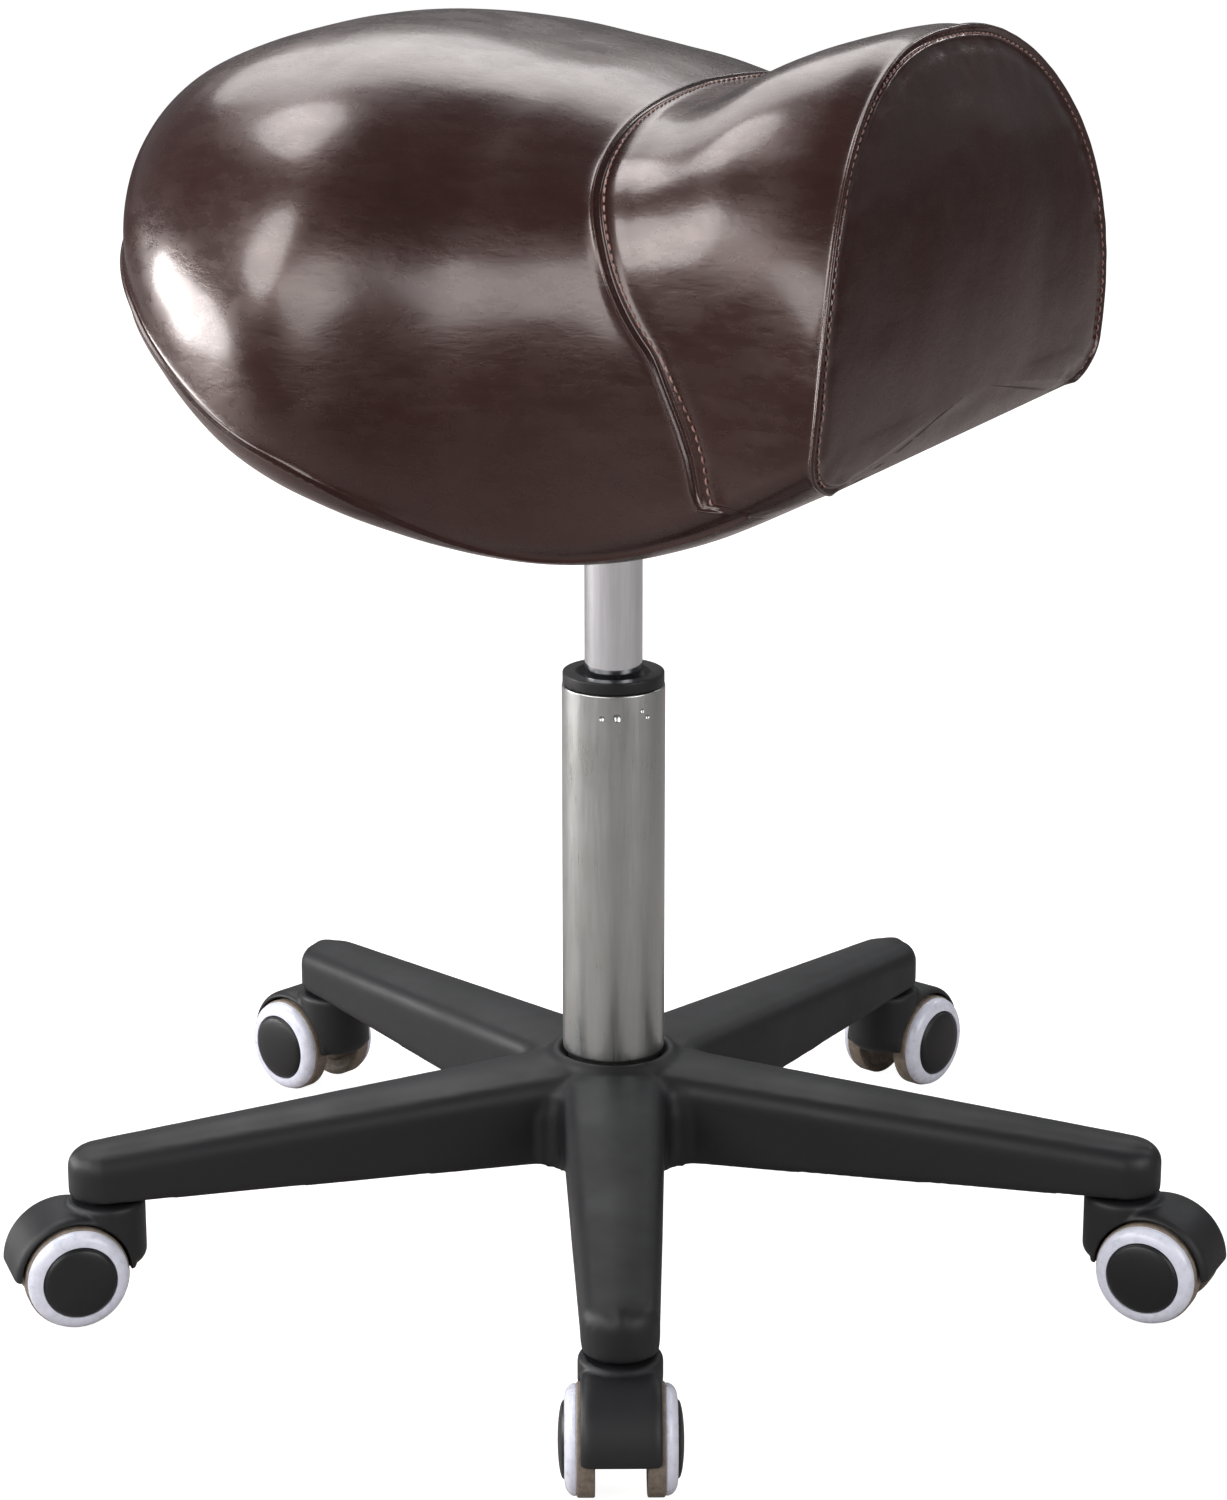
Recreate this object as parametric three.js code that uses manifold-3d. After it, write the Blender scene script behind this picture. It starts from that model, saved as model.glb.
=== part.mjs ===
// Saddle stool for a dental surgery: five-star base on twin-wheel casters, gas lift, saddle seat.
// Millimetres, +Z up. The origin is on the column's axis at floor level.
// The seat's front faces -Y, and the sitter's right is -X.

import * as THREE from 'three';
import { mergeVertices } from 'three/addons/utils/BufferGeometryUtils.js';
import Module from 'manifold-3d';

const wasm = await Module();
wasm.setup();

const GAP = 0.3;               // play left between pieces that touch
const ROUND = 20;              // sides of a turned piece
const WHEEL_ROUND = 16;        // sides of a wheel, its cap and the boss of its hood
const FINE_ROUND = 8;          // sides of a pin or a hole

// ---- casters ----
const ARM_COUNT = 5;
const BASE_TURN = 208.67;                          // direction of the first arm, degrees from +X
const CASTER_TURNS = [0, -8.5, -4.1, 9.1, 0.8];    // how far each caster has swivelled, degrees
const STEM_CIRCLE = 256.1;
const WHEEL_RADIUS = 25;
const TRAIL = 18.6;                                // from the stem's axis to the axle
const WHEEL_INNER = 11.3;                          // half the gap between the two wheels
const TREAD_OUTER = 18.7;
const WHEEL_OUTER = 24.6;
const CAP_RADIUS = 17.5;
const CAP_SEAT = 22.3;                             // where the cap sits in the wheel
const CAP_TOP = 27.5;
const AXLE_RADIUS = 3;
const STEM_RADIUS = 5;
const HOOD_HALF_WIDTH = 18.3;
const HOOD_RADIUS = 29.5;
const HOOD_CLEARANCE = 26.3;                       // inside radius of the hood over the tread
const WEB_HALF_WIDTH = 10.8;
const BOSS_RADIUS = 18.8;
const BOSS_TOP = 57;

// ---- star base ----
const ARM_END_RADIUS = 17.5;                       // the arm's end is round about the stem
const ARM_UNDERSIDE = 58.8;
const HUB_UNDERSIDE = 54;
const ARM_TOP_END = 83;
const ARM_TOP_HUB = 100;
const HUB_TOP = 103;
const ARM_WALL = 4;
const HOLLOW_SPANS = [[50, 139], [142, 232]];       // from the column's axis, with a rib left between

// ---- gas lift ----
const TUBE_RADIUS = 25;
const TUBE_WALL = 2;
const TUBE_TOP = 288.7;
const TUBE_NECK = 22.3;
const TUBE_FOOT = 60;
const COLLAR_TOP = 295;
const CYLINDER_RADIUS = 14;
const CYLINDER_BORE = 11;
const CYLINDER_FOOT = 180;
const CYLINDER_TOP = 448;
const CHAMBER_TOP = 415;
const BUSH_FOOT = 200;
const ROD_RADIUS = 5;
const PISTON_FOOT = 236;
const BUTTON_RADIUS = 4;
const BUTTON_WELL = 424;       // bottom of the bore that the valve button moves in
const BUTTON_FOOT = 431;
const BUTTON_TOP = 454;

// ---- seat: stations run forward along s, w is the half width ----
const SEAT_BACK = -224;
const SEAT_FRONT = 167;
const SEAT_STATIONS = [SEAT_BACK + 0.5, -219, -207, -184, -150, -110, -65, -20, 25, 62, 95, 130];
const BACK_ROUND_FROM = -30;
const HALF_WIDTHS = [[-224, 199], [-110, 199], [-50, 197], [10, 173], [70, 152], [120, 154], [167, 162]];
const RIM_HEIGHTS = [[-224, 517], [-110, 448], [-50, 425], [10, 405], [60, 402], [110, 416], [167, 448]];
const CREST_HEIGHTS = [[-224, 625], [-170, 623], [-110, 611], [-50, 600], [10, 590], [65, 578], [115, 600],
  [150, 609], [167, 609]];
const WIDTH_POWERS = [[-150, 2.5], [0, 2.9], [70, 2.9], [167, 2.2]];
const HEIGHT_POWERS = [[-150, 2.3], [0, 2.9], [70, 4.3], [167, 2.4]];
const PLAN_POWER = 2.2;        // how round the back is seen from above
const CROWN_POWER = 2.6;       // how round the back is seen from the side
const BAND_DROP = 20;          // from the rim down to the underside
const BAND_INSET = 37;
const END_BOW = 15;            // how far the front panel bows forward
const END_BOW_MIDDLE = 495;
const END_BOW_REACH = 110;
const COVER_THICKNESS = 2.5;
const BOARD_THICKNESS = 12;
const BOARD_TOP = 486;
const BOARD_FLAT = 62;         // half width of the flat middle of the board
const BOARD_ARCH = 24;         // how far its edges fall below the middle
const BOARD_INSET = 48;
const BOARD_BACK = -188;
const BOARD_FRONT = 148;
const BOARD_LIFT = 14;         // how far its back end curls up
const BOARD_LIFT_FROM = -110;

// ---- mechanism ----
const PLATE_TOP = BOARD_TOP - BOARD_THICKNESS - GAP;
const PLATE_THICKNESS = 3.2;
const PLATE_SIZE = [118, 156];
const BOLT_PLACES = [[-46, -64], [46, -64], [46, 64], [-46, 64]];
const BOLT_RADIUS = 4;
const SOCKET_RADIUS = 18.5;
const SOCKET_FOOT = 404;
const LEVER_DIRECTION = 35;    // degrees from +X, under the sitter's left and a little back
const LEVER_RADIUS = 5;
const LEVER_HEIGHT = 459.5;
const PIVOT_REACH = 45;
const PIN_RADIUS = 2.5;
const LEVER_ROUTE = [
  [-4, LEVER_HEIGHT], [PIVOT_REACH + 10, LEVER_HEIGHT], [80, 449], [165, 403], [190, 397],
];
const GRIP_LENGTH = 62;
const GRIP_DEPTH = 50;         // how deep the rod goes into the grip

const FINISHES = {
  nylon: { color: 0x1e1e21, roughness: 0.6, metalness: 0 },
  ring: { color: 0xc9cbd8, roughness: 0.35, metalness: 0 },
  chrome: { color: 0xc4c8d0, roughness: 0.12, metalness: 1 },
  satin: { color: 0x9a9a9a, roughness: 0.32, metalness: 1 },
  steel: { color: 0x6f7277, roughness: 0.45, metalness: 1 },
  rubber: { color: 0x151515, roughness: 0.85, metalness: 0 },
  leather: { color: 0x35231f, roughness: 0.25, metalness: 0 },
  foam: { color: 0xd8c98f, roughness: 0.9, metalness: 0 },
  plywood: { color: 0xb08a5a, roughness: 0.7, metalness: 0 },
};

const stool = new THREE.Group();

// ---------------------------------------------------------------- helpers

function radians(degrees) {
  return degrees * Math.PI / 180;
}

function addPiece(parent, name, geometry, finish) {
  const mesh = new THREE.Mesh(geometry, new THREE.MeshStandardMaterial(FINISHES[finish]));
  mesh.name = name;
  parent.add(mesh);
  return mesh;
}

function weld(geometry) {
  const bare = geometry.clone();
  bare.deleteAttribute('normal');
  bare.deleteAttribute('uv');
  return mergeVertices(bare, 1e-4);
}

function toSolid(geometry) {
  const welded = weld(geometry);
  const mesh = new wasm.Mesh({
    numProp: 3,
    vertProperties: new Float32Array(welded.attributes.position.array),
    triVerts: new Uint32Array(welded.index.array),
  });
  mesh.merge();
  return new wasm.Manifold(mesh);
}

function toGeometry(solid) {
  const mesh = solid.getMesh();
  const geometry = new THREE.BufferGeometry();
  geometry.setAttribute('position', new THREE.BufferAttribute(mesh.vertProperties, 3));
  geometry.setIndex(new THREE.BufferAttribute(mesh.triVerts, 1));
  geometry.computeVertexNormals();
  return geometry;
}

function join(...geometries) {
  return toGeometry(geometries.map(toSolid).reduce((whole, piece) => whole.add(piece)));
}

function cut(geometry, ...tools) {
  return toGeometry(tools.map(toSolid).reduce((whole, tool) => whole.subtract(tool), toSolid(geometry)));
}

// A turned piece about Z from [radius, height] points that start and end on the axis.
function turned(points, sides = ROUND) {
  const profile = points.map(([radius, height]) => new THREE.Vector2(radius, height));
  return outward(new THREE.LatheGeometry(profile, sides).rotateX(Math.PI / 2));
}

// A turned ring about Z: its profile closes on itself.
function turnedRing(points, sides = ROUND) {
  return turned([...points, points[0]], sides);
}

function post(radius, foot, top, sides = ROUND) {
  return turned([[0, foot], [radius, foot], [radius, top], [0, top]], sides);
}

// The radius of a many-sided hole that clears a round of the given radius, however it is turned.
function roomy(radius, sides = ROUND) {
  return (radius + GAP) / Math.cos(Math.PI / sides);
}

function block(low, high) {
  const size = low.map((value, axis) => high[axis] - value);
  const middle = low.map((value, axis) => (high[axis] + value) / 2);
  return new THREE.BoxGeometry(...size).translate(...middle);
}

// A cylinder along Y through (x, z).
function crossBar(radius, x, z, from, to, sides = ROUND) {
  return post(radius, from, to, sides).rotateX(-Math.PI / 2).translate(x, 0, z);
}

// A closed solid through rings of [x, y, z] points, all with the same count.
// Its ends are closed by strips that zigzag between a ring's first and last points.
function loft(rings) {
  const count = rings[0].length;
  const faces = [];
  for (let ring = 0; ring + 1 < rings.length; ring += 1) {
    for (let i = 0; i < count; i += 1) {
      const a = ring * count + i;
      const b = ring * count + (i + 1) % count;
      faces.push(a, b, b + count, a, b + count, a + count);
    }
  }
  const lastRing = (rings.length - 1) * count;
  const closeEnds = (a, b, c) => faces.push(a, c, b, lastRing + a, lastRing + b, lastRing + c);
  let low = 0;
  let high = count - 1;
  while (high - low > 1) {
    closeEnds(low, low + 1, high);
    low += 1;
    if (high - low > 1) {
      closeEnds(low, high - 1, high);
      high -= 1;
    }
  }
  const geometry = new THREE.BufferGeometry();
  geometry.setAttribute('position', new THREE.Float32BufferAttribute(rings.flat(2), 3));
  geometry.setIndex(faces);
  return outward(geometry);
}

// The same closed geometry with its faces pointing out.
function outward(geometry) {
  const corner = [new THREE.Vector3(), new THREE.Vector3(), new THREE.Vector3()];
  const { index, attributes } = geometry;
  let volume = 0;
  for (let i = 0; i < index.count; i += 3) {
    corner.forEach((point, k) => point.fromBufferAttribute(attributes.position, index.getX(i + k)));
    volume += corner[0].dot(corner[1].cross(corner[2]));
  }
  if (volume < 0) geometry.setIndex([...index.array].reverse());
  geometry.computeVertexNormals();
  return geometry;
}

// A smooth curve through [place, value] knots, level beyond the first and the last.
function through(knots, place) {
  const last = knots.length - 1;
  if (place <= knots[0][0]) return knots[0][1];
  if (place >= knots[last][0]) return knots[last][1];
  const i = knots.findIndex((knot, index) => place < knots[index + 1][0]);
  const slope = (index) => {
    const before = knots[Math.max(index - 1, 0)];
    const after = knots[Math.min(index + 1, last)];
    return (after[1] - before[1]) / (after[0] - before[0]);
  };
  const [x0, y0] = knots[i];
  const [x1, y1] = knots[i + 1];
  const width = x1 - x0;
  const t = (place - x0) / width;
  return y0 * (1 + 2 * t) * (1 - t) ** 2 + slope(i) * width * t * (1 - t) ** 2
    + y1 * t * t * (3 - 2 * t) + slope(i + 1) * width * t * t * (t - 1);
}

// ---------------------------------------------------------------- star base

function armTop(reach) {
  return THREE.MathUtils.mapLinear(reach, 30, STEM_CIRCLE + ARM_END_RADIUS, ARM_TOP_HUB, ARM_TOP_END);
}

function armFoot(reach) {
  return THREE.MathUtils.clamp(
    THREE.MathUtils.mapLinear(reach, 40, 236, HUB_UNDERSIDE, ARM_UNDERSIDE),
    HUB_UNDERSIDE,
    ARM_UNDERSIDE,
  );
}

// One cross-section of an arm: upright sides, a rounded edge and a slightly crowned top.
function armRing(reach, halfWidth, drop) {
  const top = armTop(reach) - drop;
  const foot = armFoot(reach);
  const half = [
    [halfWidth - 1.5, foot],
    [halfWidth, foot + 3],
    [halfWidth, top - 9],
    [halfWidth * 0.9, top - 3.5],
    [halfWidth * 0.62, top - 0.8],
    [0, top],
  ];
  const mirrored = half.slice(0, -1).reverse().map(([across, height]) => [-across, height]);
  return [...half, ...mirrored].map(([across, height]) => [reach, across, height]);
}

function arm() {
  const rings = [
    armRing(6, 20, 0),
    armRing(34, 26, 0),
    armRing(44, 24.3, 0),
    armRing(140, 21.2, 0),
    armRing(STEM_CIRCLE - 16, 17.8, 0),
  ];
  for (const angle of [10, 45, 74]) {
    const reach = STEM_CIRCLE + ARM_END_RADIUS * Math.sin(radians(angle));
    const drop = 4 * Math.sin(radians(angle)) ** 4;
    rings.push(armRing(reach, ARM_END_RADIUS * Math.cos(radians(angle)), drop));
  }
  return loft(rings);
}

// The hollows under an arm, with ribs left between them.
function armHollows() {
  return HOLLOW_SPANS.map(([near, far]) => {
    const ring = (reach) => {
      const half = THREE.MathUtils.mapLinear(reach, 44, 240, 24.3, 17.8) - ARM_WALL;
      const roof = armTop(reach) - ARM_WALL - 1;
      return [
        [reach, half, HUB_UNDERSIDE - 5],
        [reach, half, roof - 8],
        [reach, half * 0.6, roof],
        [reach, -half * 0.6, roof],
        [reach, -half, roof - 8],
        [reach, -half, HUB_UNDERSIDE - 5],
      ];
    };
    return loft([ring(near), ring(far)]);
  });
}

function starBase() {
  const hub = turned([
    [0, HUB_UNDERSIDE], [37, HUB_UNDERSIDE], [38, 57], [35, 90], [31, HUB_TOP - 3], [28.5, HUB_TOP],
    [0, HUB_TOP],
  ]);
  const bore = turned([
    [0, HUB_UNDERSIDE - 1], [roomy(TUBE_NECK), HUB_UNDERSIDE - 1], [roomy(TUBE_NECK), HUB_TOP - 6],
    [TUBE_RADIUS + 1, HUB_TOP - 1.5], [TUBE_RADIUS + 1, HUB_TOP + 1], [0, HUB_TOP + 1],
  ]);
  const arms = [];
  const hollows = [];
  for (let i = 0; i < ARM_COUNT; i += 1) {
    const turn = radians(i * 360 / ARM_COUNT);
    const socket = post(STEM_RADIUS + 0.5 + GAP, HUB_UNDERSIDE, 78 + GAP, FINE_ROUND);
    arms.push(arm().rotateZ(turn));
    hollows.push(...armHollows().map((hollow) => hollow.rotateZ(turn)));
    hollows.push(socket.translate(STEM_CIRCLE, 0, 0).rotateZ(turn));
  }
  return cut(join(hub, ...arms), bore, ...hollows);
}

// ---------------------------------------------------------------- casters

function casterStem() {
  return turned([
    [0, 33.5], [STEM_RADIUS, 33.5], [STEM_RADIUS, BOSS_TOP + GAP], [9, BOSS_TOP + GAP],
    [9, ARM_UNDERSIDE - GAP], [STEM_RADIUS + 0.5, ARM_UNDERSIDE - GAP], [STEM_RADIUS + 0.5, 78], [0, 78],
  ], FINE_ROUND);
}

function casterHood() {
  const fender = cut(
    crossBar(HOOD_RADIUS, TRAIL, WHEEL_RADIUS, -HOOD_HALF_WIDTH, HOOD_HALF_WIDTH),
    block([-60, -60, -60], [80, 60, WHEEL_RADIUS]),
  );
  const boss = turned([[0, 24], [15, 24], [BOSS_RADIUS, 28], [BOSS_RADIUS, BOSS_TOP - 1],
    [BOSS_RADIUS - 1, BOSS_TOP], [0, BOSS_TOP]], WHEEL_ROUND);
  const axleHub = crossBar(8, TRAIL, WHEEL_RADIUS, -WEB_HALF_WIDTH, WEB_HALF_WIDTH, FINE_ROUND);
  const wheelRoom = [1, -1].map((side) => {
    const edges = [side * (WHEEL_INNER - GAP), side * 50].sort((a, b) => a - b);
    return crossBar(HOOD_CLEARANCE, TRAIL, WHEEL_RADIUS, ...edges);
  });
  const stemHole = post(roomy(STEM_RADIUS, FINE_ROUND), 33, BOSS_TOP + 1, FINE_ROUND);
  const axleHole = crossBar(AXLE_RADIUS + GAP, TRAIL, WHEEL_RADIUS, -20, 20, FINE_ROUND);
  return cut(join(fender, boss, axleHub), ...wheelRoom, stemHole, axleHole);
}

function casterAxle() {
  return crossBar(AXLE_RADIUS, TRAIL, WHEEL_RADIUS, -CAP_SEAT + GAP * 2, CAP_SEAT - GAP * 2, 8);
}

// A wheel and its cap are turned about Z, then laid along the axle on the side asked for,
// with a flat of the tread on the floor.
function onAxle(geometry, side) {
  const laid = geometry.rotateZ(Math.PI / WHEEL_ROUND).rotateX(side > 0 ? -Math.PI / 2 : Math.PI / 2);
  return laid.translate(TRAIL, 0, WHEEL_RADIUS);
}

function casterWheel(side) {
  const corner = WHEEL_RADIUS / Math.cos(Math.PI / WHEEL_ROUND);
  return onAxle(turnedRing([
    [AXLE_RADIUS + GAP, WHEEL_INNER], [corner, WHEEL_INNER], [corner, TREAD_OUTER],
    [23.4, 22.8], [CAP_RADIUS + GAP, WHEEL_OUTER], [CAP_RADIUS + GAP, CAP_SEAT - GAP],
    [AXLE_RADIUS + GAP, CAP_SEAT - GAP],
  ], WHEEL_ROUND), side);
}

function casterCap(side) {
  return onAxle(turned([
    [0, CAP_SEAT], [CAP_RADIUS, CAP_SEAT], [CAP_RADIUS, WHEEL_OUTER], [12, 26.6], [0, CAP_TOP],
  ], WHEEL_ROUND), side);
}

function addCaster(number, armTurn, casterTurn) {
  const caster = new THREE.Group();
  const arm = radians(armTurn);
  caster.position.set(STEM_CIRCLE * Math.cos(arm), STEM_CIRCLE * Math.sin(arm), 0);
  caster.rotation.z = radians(armTurn + casterTurn);
  addPiece(caster, `caster_stem_${number}`, casterStem(), 'steel');
  addPiece(caster, `caster_hood_${number}`, casterHood(), 'nylon');
  addPiece(caster, `caster_axle_${number}`, casterAxle(), 'steel');
  for (const [letter, side] of [['a', 1], ['b', -1]]) {
    addPiece(caster, `caster_wheel_${number}${letter}`, casterWheel(side), 'ring');
    addPiece(caster, `caster_cap_${number}${letter}`, casterCap(side), 'nylon');
  }
  stool.add(caster);
}

// ---------------------------------------------------------------- gas lift

function columnTube() {
  return turnedRing([
    [TUBE_NECK - 0.4, TUBE_FOOT], [TUBE_NECK, 96], [TUBE_NECK + 0.4, 101.6], [TUBE_RADIUS - 0.6, 104.5],
    [TUBE_RADIUS, 108], [TUBE_RADIUS, TUBE_TOP - 1], [TUBE_RADIUS - 0.8, TUBE_TOP],
    [TUBE_RADIUS - TUBE_WALL, TUBE_TOP], [TUBE_RADIUS - TUBE_WALL, 110], [20.2, 103], [20, TUBE_FOOT],
  ]);
}

function guideBush() {
  return turnedRing([
    [CYLINDER_RADIUS + GAP, BUSH_FOOT], [TUBE_RADIUS - TUBE_WALL - GAP, BUSH_FOOT],
    [TUBE_RADIUS - TUBE_WALL - GAP, TUBE_TOP + GAP], [TUBE_RADIUS - 0.4, TUBE_TOP + GAP],
    [TUBE_RADIUS - 0.4, COLLAR_TOP - 1.5], [TUBE_RADIUS - 2, COLLAR_TOP], [CYLINDER_RADIUS + 4, COLLAR_TOP],
    [CYLINDER_RADIUS + GAP, COLLAR_TOP - 2.5],
  ]);
}

function gasCylinder() {
  return turned([
    [0, CHAMBER_TOP], [CYLINDER_BORE, CHAMBER_TOP], [CYLINDER_BORE, CYLINDER_FOOT + 6],
    [ROD_RADIUS + GAP, CYLINDER_FOOT + 6], [ROD_RADIUS + GAP, CYLINDER_FOOT],
    [CYLINDER_RADIUS, CYLINDER_FOOT], [CYLINDER_RADIUS, SOCKET_FOOT], [CYLINDER_RADIUS - 0.8, CYLINDER_TOP],
    [BUTTON_RADIUS + GAP, CYLINDER_TOP], [BUTTON_RADIUS + GAP, BUTTON_WELL], [0, BUTTON_WELL],
  ]);
}

function addGasLift() {
  addPiece(stool, 'column_tube', columnTube(), 'satin');
  addPiece(stool, 'guide_bush', guideBush(), 'nylon');
  addPiece(stool, 'foot_plate', turnedRing([[ROD_RADIUS + GAP, 61], [19.6, 61], [19.6, 64.5],
    [ROD_RADIUS + GAP, 64.5]]), 'steel');
  addPiece(stool, 'thrust_bearing', turnedRing([[ROD_RADIUS + GAP, 64.8], [12, 64.8], [12, 69],
    [ROD_RADIUS + GAP, 69]], 16), 'steel');
  addPiece(stool, 'piston_rod', post(ROD_RADIUS, 56, PISTON_FOOT, 16), 'chrome');
  addPiece(stool, 'retaining_clip', turnedRing([[ROD_RADIUS + GAP, 58.6], [8.5, 58.6], [8.5, 60.4],
    [ROD_RADIUS + GAP, 60.4]], 16), 'steel');
  addPiece(stool, 'rubber_bumper', turnedRing([[ROD_RADIUS + GAP, 69.4], [11, 69.4], [10, 78.5],
    [ROD_RADIUS + GAP, 78.5]], 16), 'rubber');
  addPiece(stool, 'piston_head', post(CYLINDER_BORE - GAP, PISTON_FOOT + GAP, PISTON_FOOT + 12), 'steel');
  addPiece(stool, 'gas_cylinder', gasCylinder(), 'chrome');
  addPiece(stool, 'valve_button', post(BUTTON_RADIUS, BUTTON_FOOT, BUTTON_TOP, FINE_ROUND), 'steel');
}

// ---------------------------------------------------------------- seat

// 1 along the seat, falling to 0 at its back end like the side of a rounded pebble.
function backRound(s, power, root) {
  const reach = BACK_ROUND_FROM - SEAT_BACK;
  const back = THREE.MathUtils.clamp((BACK_ROUND_FROM - s) / reach, 0, 1);
  return (1 - back ** power) ** (1 / root);
}

function seatHalfWidth(s) {
  return through(HALF_WIDTHS, s) * backRound(s, PLAN_POWER, PLAN_POWER);
}

function endBow(s, z) {
  const along = THREE.MathUtils.clamp((s - 60) / (SEAT_FRONT - 60), 0, 1);
  return END_BOW * along * Math.max(0, 1 - ((z - END_BOW_MIDDLE) / END_BOW_REACH) ** 2);
}

// One cross-section of the seat, shrunk all round by inset: an arch over a band that turns under.
function seatRing(s, inset, forward = 0, shrink = 1) {
  const rim = through(RIM_HEIGHTS, s);
  const crest = rim + (through(CREST_HEIGHTS, s) - rim) * backRound(s, CROWN_POWER, 2) - inset;
  const halfWidth = Math.max(seatHalfWidth(s) - inset, 4);
  const across = through(WIDTH_POWERS, s);
  const upward = through(HEIGHT_POWERS, s);
  const half = [];
  for (const angle of [0, 16, 32, 46, 60, 74, 90]) {
    half.push([
      halfWidth * Math.sin(radians(angle)) ** (2 / across),
      rim + (crest - rim) * Math.abs(Math.cos(radians(angle))) ** (2 / upward),
    ]);
  }
  for (const angle of [40, 90]) {
    half.push([
      halfWidth - Math.min(BAND_INSET, halfWidth * 0.7) * (1 - Math.cos(radians(angle))),
      rim - (BAND_DROP - inset) * Math.sin(radians(angle)),
    ]);
  }
  const mirrored = half.slice(1).reverse().map(([w, z]) => [-w, z]);
  const middle = (crest + rim) / 2;
  return [...half, ...mirrored].map(([w, z]) => {
    const height = middle + (z - middle) * shrink;
    return [w * shrink, -(s + endBow(s, z) + forward), height];
  });
}

function seatBody(inset) {
  return loft([
    ...SEAT_STATIONS.map((s) => seatRing(s === SEAT_STATIONS[0] ? s + inset : s, inset)),
    seatRing(SEAT_FRONT - inset, inset),
    seatRing(SEAT_FRONT - inset, inset, 3.5, 0.84),
  ]);
}

// The board's height profile, and the space that it needs in the foam when grown by GAP.
function boardRing(s, grow, foot) {
  const lift = BOARD_LIFT * THREE.MathUtils.clamp((BOARD_LIFT_FROM - s) / 80, 0, 1) ** 2;
  const edge = Math.max(seatHalfWidth(s) - BOARD_INSET, BOARD_FLAT + 2);
  const top = [0, 0.5, 1].map((t) => [
    THREE.MathUtils.lerp(BOARD_FLAT, edge + grow, t),
    BOARD_TOP + lift + grow - BOARD_ARCH * t * t,
  ]);
  const under = top.map(([w, z]) => [w, foot ?? z - BOARD_THICKNESS]);
  const mirrored = (points) => points.map(([w, z]) => [-w, z]);
  const around = [...under.toReversed(), ...mirrored(under), ...mirrored(top).reverse(), ...top];
  return around.map(([w, z]) => [w, -s, z]);
}

function boardShape(grow, foot) {
  const stations = [BOARD_BACK - grow, -150, -110, -40, 40, 100, BOARD_FRONT + grow];
  return loft(stations.map((s) => boardRing(s, grow, foot)));
}

function boltHoles(radius, foot, top) {
  return BOLT_PLACES.map(([x, y]) => post(radius, foot, top, FINE_ROUND).translate(x, y, 0));
}

function addSeat() {
  const recess = boardShape(GAP, 300);
  const outside = seatBody(0);
  const inside = seatBody(COVER_THICKNESS);
  addPiece(stool, 'seat_cover', cut(outside, inside, recess), 'leather');
  addPiece(stool, 'seat_foam', cut(seatBody(COVER_THICKNESS + GAP), recess), 'foam');
  addPiece(stool, 'seat_board', cut(boardShape(0), ...boltHoles(BOLT_RADIUS + GAP, 440, 500)), 'plywood');
  BOLT_PLACES.forEach(([x, y], i) => {
    const head = PLATE_TOP - PLATE_THICKNESS - GAP;
    const bolt = turned([[0, head - 5], [6.5, head - 5], [6.5, head], [BOLT_RADIUS, head],
      [BOLT_RADIUS, BOARD_TOP - 1], [0, BOARD_TOP - 1]], FINE_ROUND);
    addPiece(stool, `plate_bolt_${i + 1}`, bolt, 'steel').position.set(x, y, 0);
  });
}

// ---------------------------------------------------------------- mechanism

function seatPlate() {
  const [width, length] = PLATE_SIZE;
  const foot = PLATE_TOP - PLATE_THICKNESS;
  const plate = block([-width / 2, -length / 2, foot], [width / 2, length / 2, PLATE_TOP]);
  const socket = post(SOCKET_RADIUS, SOCKET_FOOT, foot + 1);
  const ears = [9.5, -9.5].map((side) => block([PIVOT_REACH - 8, side - 1.5, LEVER_HEIGHT - 8],
    [PIVOT_REACH + 8, side + 1.5, foot + 1]).rotateZ(radians(LEVER_DIRECTION)));
  const bore = post(CYLINDER_RADIUS + GAP, SOCKET_FOOT - 1, foot - 1);
  const slot = block([0, -LEVER_RADIUS - 1, LEVER_HEIGHT - LEVER_RADIUS - 4],
    [SOCKET_RADIUS + 5, LEVER_RADIUS + 1, LEVER_HEIGHT + LEVER_RADIUS + 2]);
  const pinHole = crossBar(PIN_RADIUS + GAP, PIVOT_REACH, LEVER_HEIGHT, -15, 15, FINE_ROUND);
  return cut(
    join(plate, socket, ...ears),
    bore,
    slot.rotateZ(radians(LEVER_DIRECTION)),
    pinHole.rotateZ(radians(LEVER_DIRECTION)),
    ...boltHoles(BOLT_RADIUS + GAP, foot - 1, PLATE_TOP + 1),
  );
}

function leverRod(tip) {
  const points = [...LEVER_ROUTE, tip].map(([reach, height]) => new THREE.Vector3(reach, 0, height));
  const path = new THREE.CatmullRomCurve3(points, false, 'centripetal');
  const section = new THREE.Shape();
  section.absarc(0, 0, LEVER_RADIUS, 0, 2 * Math.PI);
  const sweep = { steps: 16, curveSegments: 4, extrudePath: path, bevelEnabled: false };
  const rod = new THREE.ExtrudeGeometry(section, sweep);
  const pinHole = crossBar(PIN_RADIUS + GAP, PIVOT_REACH, LEVER_HEIGHT, -15, 15, FINE_ROUND);
  return cut(rod, pinHole);
}

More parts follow.
